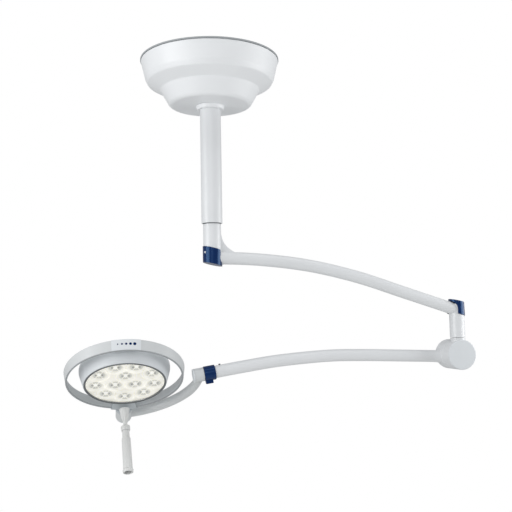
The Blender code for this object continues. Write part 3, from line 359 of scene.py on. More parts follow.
def make_materials():
    """One material for each material slot of the record, under the slot's name."""
    colours = finishes()
    return {
        # polyester powder baked on steel: a satin skin with a slight orange peel
        "white_powder_coat": finish("polyester_powder_coat", colours.powder_coat, 0.34, 2.4 * MM,
                                    0.008 * MM, coat=0.15),
        # the same powder on the head's parts, a shade greyer
        "grey_powder_coat": finish("grey_polyester_powder_coat", colours.head_coat, 0.38, 2.4 * MM,
                                   0.008 * MM, coat=0.10),
        # ABS of the canopy, a shade brighter
        "canopy_plastic": finish("bright_moulded_abs", colours.canopy, 0.38, 1.3 * MM, 0.009 * MM),
        # ABS moulded in a spark-eroded tool: an even, fine matt grain
        "white_plastic": finish("moulded_abs", colours.shell_plastic, 0.40, 1.3 * MM, 0.009 * MM),
        # the same ABS in a warmer white, polished by handling
        "grip_plastic": finish("handled_abs", colours.grip_plastic, 0.33, 1.3 * MM, 0.007 * MM, wear=0.06),
        # the same ABS in a darker grey: painted shade, standing in for the shade that falls on the pivot
        # bracket behind the glass
        "bracket_painted_shade": finish("moulded_abs_painted_shade", colours.bracket, 0.42, 1.3 * MM, 0.009 * MM),
        # extruded EPDM: dull, soft grey; the same grey also paints the shade line under the grip ring
        "grey_seal": finish("extruded_epdm_and_painted_shade", colours.seal, 0.62, 1.6 * MM, 0.020 * MM),
        # polished polycarbonate-ABS: deep, wet-looking gloss
        "blue_plastic": finish("polished_pc_abs", colours.accent, 0.16, 4.0 * MM, 0.004 * MM, 0.02, 0.05,
                               wear=0.04, gloss=0.45, gloss_tint=(0.30, 0.58, 1.0)),
        # glass-filled nylon: near black and matt
        "dark_plastic": finish("glass_filled_nylon", linear("65696C"), 0.48, 1.0 * MM, 0.012 * MM),
        # natural cast nylon: creamy and waxy
        "nylon": finish("cast_nylon", linear("E3DFD0"), 0.45, 1.5 * MM, 0.008 * MM),
        # zinc-plated steel: bright grey with a crystalline mottling
        "steel": finish("zinc_plated_steel", linear("BFC1C2"), 0.30, 1.0 * MM, 0.01 * MM, 8 * MM, 0.08, 1.0),
        # black-oxide steel: dark, oily sheen
        "dark_steel": finish("black_oxide_steel", linear("56585B"), 0.34, 0.9 * MM, 0.012 * MM, 5 * MM,
                             0.10, 1.0),
        # extruded aluminium left as it came from the die
        "aluminium": finish("extruded_aluminium", linear("D0D2D3"), 0.36, 1.0 * MM, 0.015 * MM, 20 * MM,
                            0.05, 1.0),
        "clear_glass": clear_glass(),
        "optic": lit_acrylic(),
        "circuit_board": solder_masked_board(),
        # plasticised PVC: soft and slightly dull
        "cable_jacket": finish("plasticised_pvc", linear("C9C9C7"), 0.50, 1.4 * MM, 0.03 * MM),
    }


# ---------------------------------------------------------------- shapes

def mesh_from(bm):
    """Merges, turns the faces outwards and closes the bmesh into a mesh."""
    bmesh.ops.remove_doubles(bm, verts=bm.verts, dist=1e-6)
    bmesh.ops.recalc_face_normals(bm, faces=bm.faces)
    mesh = bpy.data.meshes.new("shape")
    bm.to_mesh(mesh)
    bm.free()
    return mesh


def turned(outline, sides=0, arc=2 * math.pi, start=0.0):
    """A solid turned about Z from a closed outline of (radius, height) points."""
    bm = bmesh.new()
    verts = [bm.verts.new((r * math.cos(start), r * math.sin(start), z)) for r, z in outline]
    full = arc > 2 * math.pi - 1e-6
    if full:
        geometry = verts + [bm.edges.new(pair) for pair in zip(verts, verts[1:] + verts[:1])
                            if pair[0].co.xy.length > 1e-7 or pair[1].co.xy.length > 1e-7]
    else:
        geometry = [bm.faces.new(verts)]
    bmesh.ops.spin(bm, geom=geometry, cent=(0, 0, 0), axis=(0, 0, 1), angle=arc,
                   steps=sides or sizes().sides, use_merge=full, use_duplicate=False)
    return mesh_from(bm)


def rounded(outline, steps=6):
    """The outline with each (radius, height, fillet) corner replaced by an arc."""
    points = []
    for index, corner in enumerate(outline):
        here = Vector(corner[:2])
        if len(corner) < 3:
            points.append(tuple(here))
            continue
        before = (Vector(outline[index - 1][:2]) - here).normalized()
        after = (Vector(outline[(index + 1) % len(outline)][:2]) - here).normalized()
        half = before.angle(after) / 2
        reach = corner[2] / math.tan(half)
        centre = here + (before + after).normalized() * corner[2] / math.sin(half)
        first, last = here + before * reach - centre, here + after * reach - centre
        for step in range(steps + 1):
            points.append(tuple(centre + first.slerp(last, step / steps) * corner[2]))
    return points


def disc(radius, low, high, edge=0.0, sides=0):
    """A solid round plate or pin along Z, with its edges rounded by the given fillet."""
    if edge:
        return turned(rounded([(0, low), (radius, low, edge), (radius, high, edge), (0, high)], 4), sides)
    return turned([(0, low), (radius, low), (radius, high), (0, high)], sides)


def collar(radius, bore, low, high, edge=0.0003):
    """A round tube or ring along Z with softened edges."""
    corners = [(bore, low, edge), (radius, low, edge), (radius, high, edge), (bore, high, edge)]
    return turned(rounded(corners, 3))


def block(size, centre=(0, 0, 0), edge=0.0):
    bm = bmesh.new()
    bmesh.ops.create_cube(bm, size=1.0, matrix=Matrix.Translation(centre) @ Matrix.Diagonal((*size, 1)))
    if edge:
        bmesh.ops.bevel(bm, geom=bm.edges[:], offset=edge, segments=4, profile=0.5, affect="EDGES",
                        material=-1)
    return mesh_from(bm)


def extruded(outline, low, high, edge=0.0):
    """A solid of a closed (x, y) outline between two heights, with its edges rounded."""
    bm = bmesh.new()
    face = bm.faces.new([bm.verts.new((x, y, low)) for x, y in outline])
    top = bmesh.ops.extrude_face_region(bm, geom=[face])
    lifted = [v for v in top["geom"] if isinstance(v, bmesh.types.BMVert)]
    bmesh.ops.translate(bm, verts=lifted, vec=(0, 0, high - low))
    if edge:
        rim = [e for e in bm.edges if abs(e.verts[0].co.z - e.verts[1].co.z) < 1e-6]
        bmesh.ops.bevel(bm, geom=rim, offset=edge, segments=4, profile=0.5, affect="EDGES", material=-1)
    return mesh_from(bm)


def smooth_route(points, count):
    """Evenly many points on one smooth curve through the given ones."""
    points = [Vector(p) for p in points]
    ends = [2 * points[0] - points[1]] + points + [2 * points[-1] - points[-2]]
    route = []
    for index in range(count + 1):
        place = index / count * (len(points) - 1)
        segment = min(int(place), len(points) - 2)
        t = place - segment
        a, b, c, d = ends[segment:segment + 4]
        route.append(0.5 * ((2 * b) + (c - a) * t + (2 * a - 5 * b + 4 * c - d) * t ** 2
                            + (3 * b - a - 3 * c + d) * t ** 3))
    return route


def tube(route, radius, shares=None, resolution=14):
    """A round bar along a route. shares gives each point's share of the radius."""
    curve = bpy.data.curves.new("route", "CURVE")
    curve.dimensions = "3D"
    curve.bevel_depth = radius
    curve.bevel_resolution = resolution
    curve.use_fill_caps = True
    spline = curve.splines.new("POLY")
    spline.points.add(len(route) - 1)
    for point, place, share in zip(spline.points, route, shares or [1.0] * len(route)):
        point.co = (*place, 1.0)
        point.radius = share
    obj = bpy.data.objects.new("route", curve)
    bpy.context.collection.objects.link(obj)
    bm = bmesh.new()
    bm.from_mesh(bpy.data.meshes.new_from_object(obj))
    bpy.data.objects.remove(obj, do_unlink=True)
    return mesh_from(bm)


def placed(mesh, matrix):
    mesh.transform(matrix)
    return mesh


def worked(mesh, operation, *shapes):
    """The mesh after other shapes are joined to it (UNION) or cut from it (DIFFERENCE)."""
    base = bpy.data.objects.new("base", mesh)
    helpers = [bpy.data.objects.new("helper", shape) for shape in shapes]
    for obj in [base] + helpers:
        bpy.context.collection.objects.link(obj)
    for obj in helpers:
        modifier = base.modifiers.new("work", "BOOLEAN")
        modifier.operation, modifier.solver, modifier.object = operation, "MANIFOLD", obj
    bpy.context.view_layer.update()
    bm = bmesh.new()
    bm.from_mesh(base.evaluated_get(bpy.context.evaluated_depsgraph_get()).to_mesh())
    for obj in [base] + helpers:
        bpy.data.objects.remove(obj, do_unlink=True)
    result = bpy.data.meshes.new("shape")
    bm.to_mesh(result)
    bm.free()
    return result


def piece(name, mesh, slot, body, matrix=None, nodes=(), material=None, edge=0.0):
    """One finished piece: its place goes into its mesh, and it rides on a body.

    nodes are the frame's nodes that it stands for. edge rounds the sharp edges.
    """
    mesh.transform(matrix or Matrix())
    mesh.name = name
    obj = bpy.data.objects.new(name, mesh)
    bpy.context.collection.objects.link(obj)
    mesh.materials.clear()
    mesh.materials.append(MATERIALS[material or slot])
    mesh.shade_smooth()
    mesh.set_sharp_from_angle(angle=math.radians(32))
    if edge:
        bevel = obj.modifiers.new("soft_edges", "BEVEL")
        bevel.width, bevel.segments, bevel.limit_method = edge, 2, "ANGLE"
        bevel.angle_limit = math.radians(40)
        bevel.use_clamp_overlap = True
    flat = obj.modifiers.new("flat_faces", "WEIGHTED_NORMAL")
    flat.keep_sharp = True
    if nodes:
        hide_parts(*nodes)
    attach(obj, body)
    return obj


MATERIALS = {}


# ---------------------------------------------------------------- ceiling mount

def build_canopy():
    body = "ceiling_mount"
    wall, low = CANOPY_WALL, -CANOPY_DEPTH
    top = -0.0040 - GAP
    outer = [(CANOPY_R - 0.0012, top, 0.0005), (0.1632, -0.0140, 0.002), (0.1556, -0.0460, 0.006),
             (0.1500, -0.0575, 0.007), (0.1190, -0.0735, 0.006), (0.0975, low, 0.014),
             (PIPE_R + 2 * GAP, low, 0.0006)]
    inner = [(PIPE_R + 2 * GAP, low + wall), (0.0953, low + wall, 0.011), (0.1166, -0.0712, 0.004),
             (0.1472, -0.0555, 0.005), (0.1527, -0.0450), (0.1602, -0.0140), (CANOPY_R - 0.0042, top)]
    piece("canopy_moulding", turned(rounded(outer) + rounded(inner)), "white_plastic", body,
          nodes=("canopy_shell",), material="canopy_plastic")
    piece("canopy_edge_seal", collar(CANOPY_R, CANOPY_R - 0.0055, -0.0040, -GAP, 0.0010), "grey_seal", body,
          nodes=("canopy_rim_seal",))
    lip = rounded([(PIPE_R + GAP, low - GAP - 0.009), (0.0315, low - GAP - 0.009, 0.003),
                   (0.0350, low - GAP, 0.0004), (PIPE_R + GAP, low - GAP)])
    bore = along((0, 1, 0), (0, PIPE_R + 0.0005, low - 0.0050))
    ring = worked(turned(lip), "DIFFERENCE", placed(disc(0.0020, -0.003, 0.012, sides=24), bore))
    piece("canopy_stop_ring", ring, "white_plastic", body, nodes=("canopy_collar",),
          material="canopy_plastic")
    piece("canopy_grub_screw", socket_head(0.0017, 0.0055, 0.0003), "dark_steel", body, bore,
          ("canopy_collar_screw",))


def build_pole():
    body = "ceiling_mount"
    tube_wall = rounded([(PIPE_BORE_R, PIPE_END_Z, 0.0006), (PIPE_R, PIPE_END_Z, 0.0010),
                         (PIPE_R, -0.0063), (PIPE_BORE_R, -0.0063)])
    holes = [placed(disc(0.0033, -0.005, 0.02, sides=24), along((side, 0, 0), (side * 0.0215, 0, -0.032)))
             for side in (1, -1)]
    holes.append(placed(disc(0.006, 0, 0.04, sides=32), along((0, 1, 0), (0, 0, -0.060))))
    piece("ceiling_tube", worked(turned(tube_wall), "DIFFERENCE", *holes), "white_powder_coat", body,
          nodes=("ceiling_pipe",))
    flange = rounded([(SPIGOT_R + GAP, PIPE_END_Z - 0.0014), (HUB_R, PIPE_END_Z - 0.0014, 0.0003),
                      (HUB_R, PIPE_END_Z - GAP), (PIPE_BORE_R - GAP, PIPE_END_Z - GAP),
                      (PIPE_BORE_R - GAP, PIPE_END_Z + 0.024), (SPIGOT_R + GAP, PIPE_END_Z + 0.024)])
    piece("pole_bearing", turned(flange), "dark_plastic", body, nodes=("pipe_bush_lower",))


def socket_head(radius, high, low=0.0, key=0.55):
    """A round screw end with a hexagon socket, from a low to a high level along Z."""
    head = disc(radius, low, high, min(0.0004, radius * 0.2), 32)
    bm = bmesh.new()
    bmesh.ops.create_cone(bm, cap_ends=True, segments=6, radius1=radius * key, radius2=radius * key,
                          depth=radius, matrix=Matrix.Translation((0, 0, high)))
    return worked(head, "DIFFERENCE", mesh_from(bm))


# ---------------------------------------------------------------- upper arm

def upper_arm_route():
    return smooth_route([(x, 0, z) for x, z in UPPER_ARM_ROUTE], 75)


def build_upper_arm():
    """The painted upper arm: hub, web, curved tube and elbow sleeve, welded and ground smooth."""
    body = "upper_arm_body"
    hub = rounded([(HUB_BORE_R, HUB_END_Z), (HUB_R, HUB_END_Z), (HUB_R, HUB_TOP_Z, 0.0006),
                   (SPIGOT_R, HUB_TOP_Z), (SPIGOT_R, -0.3010), (0.0150, -0.3010), (0.0150, -0.2992),
                   (SPIGOT_R, -0.2992), (SPIGOT_R, SPIGOT_TOP_Z), (HUB_BORE_R, SPIGOT_TOP_Z)])
    route = upper_arm_route()
    weld = [Vector((0.0100, 0, route[0].z - 0.0003))] + [p for p in route if p.x > 0.0125]
    shares = [1.0 + 0.10 * math.exp(-(p.x - 0.020) / 0.008) for p in weld]
    shares = [min(1.12, share) + 0.05 * math.exp((p.x - 0.612) / 0.006) if p.x < 0.6121 else 1.05
              for p, share in zip(weld, shares)]
    web = [(0.010, -0.415), (0.0196, -0.4150), (0.0208, -0.4240), (0.0226, -0.4325), (0.0255, -0.4405),
           (0.0300, -0.4480), (0.0365, -0.4548), (0.0445, -0.4610), (0.0540, -0.4665), (0.0680, -0.4712),
           (0.0680, -0.486), (0.010, -0.486)]
    gusset = placed(extruded(web, -0.0085, 0.0085, 0.0020), Matrix.Rotation(math.pi / 2, 4, "X"))
    at_elbow = Matrix.Translation((ELBOW_X, 0, 0))
    neck = placed(disc(ELBOW_NECK_R, ELBOW_SEAM_Z + 0.020, ELBOW_TOP_Z), at_elbow)
    sleeve = placed(disc(ELBOW_R, ELBOW_SEAM_Z, ELBOW_TOP_Z, 0.0006, sizes().sides + 4), at_elbow)
    lid = Matrix.Translation((ELBOW_X, 0, ELBOW_CAP_Z)) @ Matrix.Rotation(math.pi, 4, "Y")
    under_rim = placed(block((0.08, 0.08, 0.08), (0, 0, ELBOW_CAP_HEIGHT + 0.0010 - 0.04)),
                       lid @ Matrix.Rotation(CAP_TILT, 4, "Y"))
    sleeve = worked(sleeve, "DIFFERENCE", under_rim)
    solid = worked(turned(hub), "UNION", tube(weld, ARM_R, shares), gusset, neck, sleeve)
    bore = placed(disc(ELBOW_BORE_R, ELBOW_SEAM_Z - 0.01, ELBOW_TOP_Z + 0.01, sides=64), at_elbow)
    inside = [p for p in route if 0.030 < p.x < 0.612]
    solid = worked(solid, "DIFFERENCE", bore, tube(inside, CHANNEL_R, None, 6))
    piece("upper_arm_weldment", solid, "white_powder_coat", body, nodes=("upper_arm",))
    brake = along((-0.31, 0, -0.95), (0.6060, 0, -0.6200))
    piece("elbow_brake_bolt", socket_head(0.0025, 0.0025, -0.0050), "dark_steel", body, brake,
          ("elbow_brake_screw",))


def slanted_cap(outline, matrix, height, openings):
    """A cup-shaped end cap whose floor and rim are cut at a slant, open where the arm leaves it."""
    slope = matrix @ Matrix.Rotation(CAP_TILT, 4, "Y")
    size = (0.12, 0.12, 0.04)
    cutters = [placed(block(size, (0, 0, -size[2] / 2)), slope.copy()),
               placed(block(size, (0, 0, height + size[2] / 2)), slope.copy())]
    cutters += [placed(shape, matrix @ place) for shape, place in openings]
    return worked(placed(turned(outline), matrix), "DIFFERENCE", *cutters)


def cap_screw(name, node, seat, body):
    """A white cover screw: a low dome with a cross recess."""
    dome = turned(rounded([(0, -0.0040), (0.0015, -0.0040), (0.0015, 0), (0.0026, 0),
                           (0.0026, 0.0010, 0.0007), (0, 0.0012)]), 40)
    arms = [block(size, (0, 0, 0.0013)) for size in ((0.0030, 0.0006, 0.0012), (0.0006, 0.0030, 0.0012))]
    piece(name, worked(dome, "DIFFERENCE", *arms), "white_plastic", body, seat, (node,))


def build_end_caps():
    """The glossy caps on the two ends of the upper arm, with their cover screws."""
    body = "upper_arm_body"
    route = upper_arm_route()
    rim_z = 0.0600
    floor_z = HUB_END_Z - GAP - POLE_CAP_Z
    cup = [(0, -0.0200), (POLE_CAP_R, -0.0200), (POLE_CAP_R, rim_z), (HUB_R + GAP, rim_z),
           (HUB_R + GAP, floor_z), (0, floor_z)]
    base = Matrix.Translation((0, 0, POLE_CAP_Z))
    leave = Matrix.Translation((0, 0, route[0].z - POLE_CAP_Z)) @ Matrix.Rotation(math.radians(2.5), 4, "Y")
    passage = tube([(0, 0, 0), (0.040, 0, 0)], ARM_R + 0.0006)
    slot = block((0.040, 2 * ARM_R + 0.0012, 0.060), (0.020, 0, 0.030))
    toward = Vector((-0.84, -0.54, 0)).normalized()
    seat = along(toward, toward * (POLE_CAP_R + GAP) + Vector((0, 0, -0.4668)))
    cap = slanted_cap(cup, base, POLE_CAP_HEIGHT, ((passage, leave), (slot, leave)))
    piece("pole_end_cap", cap, "blue_plastic", body, nodes=("pole_cap",), edge=sizes().edge * 0.5)
    cap_screw("pole_end_cap_screw", "pole_cap_screw", seat, body)

    floor_z = ELBOW_CAP_Z - ELBOW_TOP_Z - GAP
    inner_r = ELBOW_NECK_R + GAP
    cup = [(0, -0.0200), (ELBOW_CAP_R - 0.0010, -0.0200), (ELBOW_CAP_R + 0.0016, rim_z), (inner_r, rim_z),
           (inner_r, floor_z), (0, floor_z)]
    window = rounded([(0.0048, 0.0600), (0.0048, -0.0015, 0.0220), (0.0500, -0.0015), (0.0500, 0.0600)], 16)
    lid = Matrix.Translation((ELBOW_X, 0, ELBOW_CAP_Z)) @ Matrix.Rotation(math.pi, 4, "Y")
    rise = Matrix.Translation((0, 0, ELBOW_CAP_Z - route[-1].z)) @ Matrix.Rotation(math.radians(18), 4, "Y")
    passage = tube([(-0.003, 0, 0), (0.060, 0, 0)], ARM_R + 0.0012)
    openings = ((extruded(window, -0.03, 0.03), Matrix.Rotation(math.pi / 2, 4, "X")), (passage, rise))
    cap = slanted_cap(cup, lid, ELBOW_CAP_HEIGHT, openings)
    piece("elbow_end_cap", cap, "blue_plastic", body, nodes=("elbow_cap",), edge=sizes().edge * 0.4)
    toward = Vector((0.60, 0.80, 0))
    seat = along(toward, toward * (ELBOW_CAP_R + 0.0008) + Vector((ELBOW_X, 0, -0.6120)))
    cap_screw("elbow_end_cap_screw", "elbow_cap_screw", seat, body)


# ---------------------------------------------------------------- drum and lower arm

def build_drum():
    """The fixed half of the spring drum with its neck and spindle, and its front cover."""
    body = "elbow_body"
    front, split = DRUM_FRONT_Y + 0.003, DRUM_SPLIT_Y - GAP
    shell = rounded([(AXLE_R + GAP, 0.0065), (DRUM_BORE_R, 0.0065), (DRUM_BORE_R, front),
                     (DRUM_R, front, 0.0004), (DRUM_R, split, 0.0015), (AXLE_R + GAP, split)])
    bore, neck = 0.0070, -0.6868
    spindle = rounded([(bore, neck), (ELBOW_R, neck, 0.0005), (ELBOW_R, ELBOW_SEAM_Z - 0.0012, 0.0005),
                       (SPINDLE_R, ELBOW_SEAM_Z - 0.0012), (SPINDLE_R, -0.6360), (0.0108, -0.6360),
                       (0.0108, -0.6342), (SPINDLE_R, -0.6342), (SPINDLE_R, SPINDLE_TOP_Z),
                       (bore, SPINDLE_TOP_Z)])
    root_r, back = ELBOW_R - 0.0004, split - 0.0012
    around = [math.radians(-180 + 6 * n) for n in range(31)]
    outline = [(root_r * math.cos(a), root_r * math.sin(a)) for a in around]
    outline += [(root_r * 0.80, back), (-root_r * 0.80, back)]
    root = placed(extruded(outline, -0.6985, neck + 0.0010), AT_ELBOW)
    solid = worked(placed(turned(shell), DRUM_TO_Y), "UNION", placed(turned(spindle), AT_ELBOW), root)
    solid = worked(solid, "DIFFERENCE", placed(disc(bore, -0.704, -0.680, sides=48), AT_ELBOW),
                   placed(disc(DRUM_BORE_R - 0.0004, front - 0.01, 0.0064, sides=96), DRUM_TO_Y))
    piece("drum_fixed_half", solid, "white_powder_coat", body, nodes=("drum_housing",))
    cover = rounded([(0, DRUM_FRONT_Y), (DRUM_R - 0.0002, DRUM_FRONT_Y, 0.0028),
                     (DRUM_R - 0.0002, front - GAP, 0.0003), (DRUM_BORE_R - GAP, front - GAP),
                     (DRUM_BORE_R - GAP, front + 0.0014), (DRUM_BORE_R - 0.003, front + 0.0014),
                     (DRUM_BORE_R - 0.003, front), (0, front)])
    piece("drum_front_lid", turned(cover), "white_plastic", body, DRUM_TO_Y, ("drum_front_cover",))


def build_lower_arm():
    """The moving half of the drum with the arm tube, its rear cover and its brake screw."""
    body = "lower_arm_body"
    split, rear = DRUM_SPLIT_Y + GAP, DRUM_REAR_Y - 0.003
    shell = rounded([(0.0140, split), (DRUM_R, split, 0.0015), (DRUM_R, rear, 0.0004), (DRUM_BORE_R, rear),
                     (DRUM_BORE_R, split + 0.005), (0.0140, split + 0.005)])
    route = smooth_route([(x, LOWER_ARM_Y, z) for x, z in LOWER_ARM_ROUTE], 90)
    shares = [1.0 + 0.10 * math.exp((p.x + 0.038) / 0.006) if p.x < -0.038 else 1.10 for p in route]
    solid = worked(placed(turned(shell), DRUM_TO_Y), "UNION", placed(tube(route, ARM_R, shares), AT_ELBOW))
    inner = tube(route[1:-1], ARM_BORE_R - 0.0006, None, 6)
    solid = worked(solid, "DIFFERENCE", placed(inner, AT_ELBOW),
                   placed(disc(DRUM_BORE_R + 0.0004, split + 0.0040, rear + 0.02, sides=96), DRUM_TO_Y))
    solid = worked(solid, "UNION", placed(turned([(0.0123, split + 0.0012), (0.0165, split + 0.0012),
                                                  (0.0165, 0.0300), (0.0123, 0.0300)], 64), DRUM_TO_Y))
    brake = AT_END @ along((1, 0, 0), (ARM_R + 0.0002, 0, -0.0270))
    solid = worked(solid, "DIFFERENCE", placed(disc(ARM_BORE_R, -0.024, 0.030, sides=80), AT_END),
                   placed(disc(0.0028, -0.010, 0.004, sides=32), brake))
    piece("lower_arm_weldment", solid, "white_powder_coat", body, nodes=("lower_arm",))
    cover = rounded([(0, DRUM_REAR_Y), (0, rear), (DRUM_BORE_R - 0.003, rear),
                     (DRUM_BORE_R - 0.003, rear - 0.002), (DRUM_BORE_R - GAP, rear - 0.002),
                     (DRUM_BORE_R - GAP, rear + GAP), (DRUM_R - 0.0002, rear + GAP, 0.0003),
                     (DRUM_R - 0.0002, DRUM_REAR_Y, 0.0025)])
    piece("drum_rear_lid", turned(cover), "white_plastic", body, DRUM_TO_Y, ("drum_rear_cover",))
    piece("end_brake_bolt", socket_head(0.0025, 0.0025, -0.0035), "dark_steel", body, brake,
          ("end_brake_screw",))


def build_end_collar():
    """The glossy collar on the lower arm's end, with its tab and screw."""
    body = "lower_arm_body"
    half = COLLAR_LENGTH / 2
    band = rounded([(ARM_R + GAP, -half), (COLLAR_R, -half, 0.0014), (COLLAR_R, half, 0.0014),
                    (ARM_R + GAP, half)])
    tab = block((0.012, 0.016, 0.018), (-COLLAR_R - 0.0005, 0, 0.0035), sizes().edge)
    down = along((-1, 0, 0), (-COLLAR_R - 0.0068, 0, 0.0035))
    solid = worked(turned(band), "UNION", tab)
    solid = worked(solid, "DIFFERENCE", disc(ARM_R + GAP, -0.03, 0.03, sides=sizes().sides + 8),
                   placed(disc(0.0024, -0.004, 0.004, sides=32), down),
                   placed(disc(0.0020, -0.012, 0.004, sides=32), down))
    piece("end_sleeve", solid, "blue_plastic", body, AT_END, ("end_collar",))
    head = placed(socket_head(0.0021, 0.0015), Matrix.Translation((0, 0, -0.0035)))
    shank = disc(0.0015, -0.0085, -0.0032, sides=32)
    piece("end_sleeve_screw", worked(head, "UNION", shank), "dark_steel", body, AT_END @ down,
          ("end_collar_screw",))


# ---------------------------------------------------------------- yoke

def build_yoke():
    """The C-shaped arm with its end piece and knuckle, and its two caps."""
    body = "yoke_body"
    start, length = COLLAR_LENGTH / 2 + 0.0005, 0.0230
    axle = rounded([(0.0040, -0.0230), (0.0080, -0.0230), (0.0080, -0.0215), (0.0086, -0.0215),
                    (0.0095, -0.0205), (0.0095, start), (0.0165, start, 0.0005),
                    (0.0165, start + length, 0.0004), (0.0040, start + length)])
    head_frame = AT_END.inverted() @ YOKE_HEAD
    centre = head_frame.translation
    to_start = Vector((0, 0, start + length * 0.45)) - centre
    to_knuckle = head_frame @ Vector((0, YOKE_KNUCKLE_Y, YOKE_AXIS_Z)) - centre
    steps = 72
    angles = [math.pi / 2 * n / steps for n in range(steps + 1)]
    arc = [centre + (to_start * math.cos(a) + to_knuckle * math.sin(a))
           * (1 + YOKE_BULGE * math.sin(2 * a)) for a in angles]
    slim = [min(1.0, YOKE_SLIM + (1 - YOKE_SLIM) * n / steps * 13 / 4) for n in range(steps + 1)]
    pivot = head_frame @ along((0, 1, 0), (0, 0, YOKE_AXIS_Z))
    near, far, step = KNUCKLE_NEAR_Y, KNUCKLE_FAR_Y, KNUCKLE_FAR_Y - 0.0115
    knuckle = rounded([(0.0100, near, 0.0004), (KNUCKLE_R, near, 0.0014), (KNUCKLE_R, far, 0.0004),
                       (0.0142, far), (0.0142, step), (0.0100, step)])
    solid = worked(turned(axle), "UNION", tube(arc, YOKE_TUBE_R, slim), placed(turned(knuckle), pivot))
    solid = worked(solid, "DIFFERENCE", placed(disc(0.0098, near - 0.003, step + 0.002, sides=64), pivot),
                   placed(disc(0.0140, step + 0.0002, far + 0.003, sides=72), pivot))
    piece("yoke_weldment", solid, "white_powder_coat", body, AT_END, ("yoke_arm",), "grey_powder_coat")
    top = start + length
    lid = rounded([(0, top + GAP), (0.0165, top + GAP, 0.0003), (0.0165, top + 0.0038, 0.0015),
                   (0, top + 0.0038)])
    piece("yoke_end_plug", turned(lid), "white_plastic", body, AT_END, ("yoke_end_cap",))
    dome = rounded([(0, far - 0.0025), (0.0137, far - 0.0025), (0.0137, far + GAP),
                    (KNUCKLE_R, far + GAP, 0.0003), (KNUCKLE_R, far + 0.0050, 0.0040),
                    (0, far + 0.0060)])
    piece("knuckle_lid", turned(dome), "white_plastic", body, AT_END @ pivot, ("knuckle_cap",))


# ---------------------------------------------------------------- head

def ring_radius(height):
    """The outer radius of the slim band round the head, which widens a little towards the back."""
    return RING_LOW_R + (RING_TOP_R - RING_LOW_R) * (height - RING_LOW_Z) / (RING_TOP_Z - RING_LOW_Z)


def ring_profile(spare=0.0, top=RING_TOP_Z, fillet=0.0):
    """The band as (radius, height), grown by a clearance."""
    low, top = RING_LOW_Z - spare, top + spare
    corners = [(ring_radius(low) - RING_WALL - spare, low), (ring_radius(low) + spare, low),
               (ring_radius(top) + spare, top), (ring_radius(top) - RING_WALL - spare, top)]
    return rounded([(*corner, fillet) for corner in corners], 5) if fillet else corners


def sector(outline, width, radius, facing, sides=48):
    """A block of a turned outline, as wide as given at a radius, round the given direction."""
    arc = 2 * math.asin(width / 2 / radius)
    return turned(outline, sides, arc, facing - arc / 2)


def build_housing():
    """The moulded housing, its back cover with a cooling grille, and the bezel."""
    body = "head_body"
    wall = 0.003
    housing = rounded([(FACE_R - 0.0048, 0.0), (FACE_R - 0.0008, 0.0, 0.0004),
                       (FACE_R + 0.0002, 0.0012, 0.0008),
                       (HOUSING_R - 0.0006, 0.0360, 0.020), (HOUSING_R - 0.0014, HOUSING_H - 0.002),
                       (HOUSING_R - 0.0040, HOUSING_H), (HOUSING_R - 0.0075, HOUSING_H),
                       (HOUSING_R - wall - 0.0006, 0.0360), (FACE_R - wall, 0.0040),
                       (FACE_R - 0.0048, 0.0040)])
    piece("housing_moulding", turned(housing), "white_plastic", body, AT_HEAD, ("head_housing",))
    seat = HOUSING_H + GAP
    back = rounded([(0, 0.0700), (0, 0.0730), (0.0600, 0.0715, 0.080), (HOUSING_R - 0.0045, 0.0560, 0.012),
                    (HOUSING_R - 0.0040, seat, 0.0005), (HOUSING_R - 0.0072, seat),
                    (HOUSING_R - 0.0080, 0.0540, 0.009), (0.0590, 0.0685, 0.078)])
    slots = []
    for index in (-4, -3, -2, -1, 1, 2, 3, 4):
        width = 2 * (0.030 - 0.0020 * abs(index))
        middle = (0, index * 0.0095 + math.copysign(0.012, index), 0.067)
        slots.append(block((width, 0.0032, 0.030), middle, 0.0010))
    lid = worked(turned(back), "DIFFERENCE", disc(0.0090, 0.060, 0.080, sides=64), *slots)
    piece("back_cover_moulding", lid, "white_plastic", body, AT_HEAD, ("head_back_cover",))
    bezel = rounded([(FACE_R - 0.0060, -0.0008, 0.0003), (FACE_R - 0.0026, -0.0016, 0.0006),
                     (FACE_R - 0.0014, -GAP), (FACE_R - 0.0052, -GAP), (FACE_R - 0.0052, 0.0009),
                     (FACE_R - 0.0060, 0.0009)])
    piece("glass_bezel", turned(bezel), "dark_plastic", body, AT_HEAD, ("lens_bezel",))


def build_optics():
    """The clear front glass and, behind it, the plate of moulded lenses."""
    body = "head_body"
    piece("front_glass", disc(FACE_R - 0.0053, 0.0012, 0.0036, 0.0005), "clear_glass", body, AT_HEAD,
          ("cover_glass",))
    lens = rounded([(0, 0.0062), (0.0022, 0.0062, 0.0008), (0.0040, 0.0047, 0.0008),
                    (0.0100, 0.0041, 0.003), (0.0205, 0.0043, 0.002), (0.0222, 0.0056, 0.0006),
                    (LENS_R, 0.0043, 0.0004),
                    (LENS_R, 0.0060), (LENS_R * 0.55, 0.0165), (0, 0.0165)], 4)
    solid = disc(FACE_R - 0.0056, 0.0046, 0.0066)
    for count, pitch, first in lens_circles():
        for index in range(count):
            angle = first + 2 * math.pi * index / count
            place = Matrix.Translation((pitch * math.cos(angle), pitch * math.sin(angle), 0))
            well = placed(disc(LENS_R - 0.0002, 0.0030, 0.0064, sides=60), place)
            solid = worked(worked(solid, "DIFFERENCE", well), "UNION", placed(turned(lens, 64), place))
    uvs = solid.uv_layers.new(name="face")
    for loop in solid.loops:
        at = solid.vertices[loop.vertex_index].co
        uvs.data[loop.index].uv = (at.x / (2 * FACE_R) + 0.5, at.y / (2 * FACE_R) + 0.5)
    piece("lens_plate", solid, "optic", body, AT_HEAD, ("lens_array",))


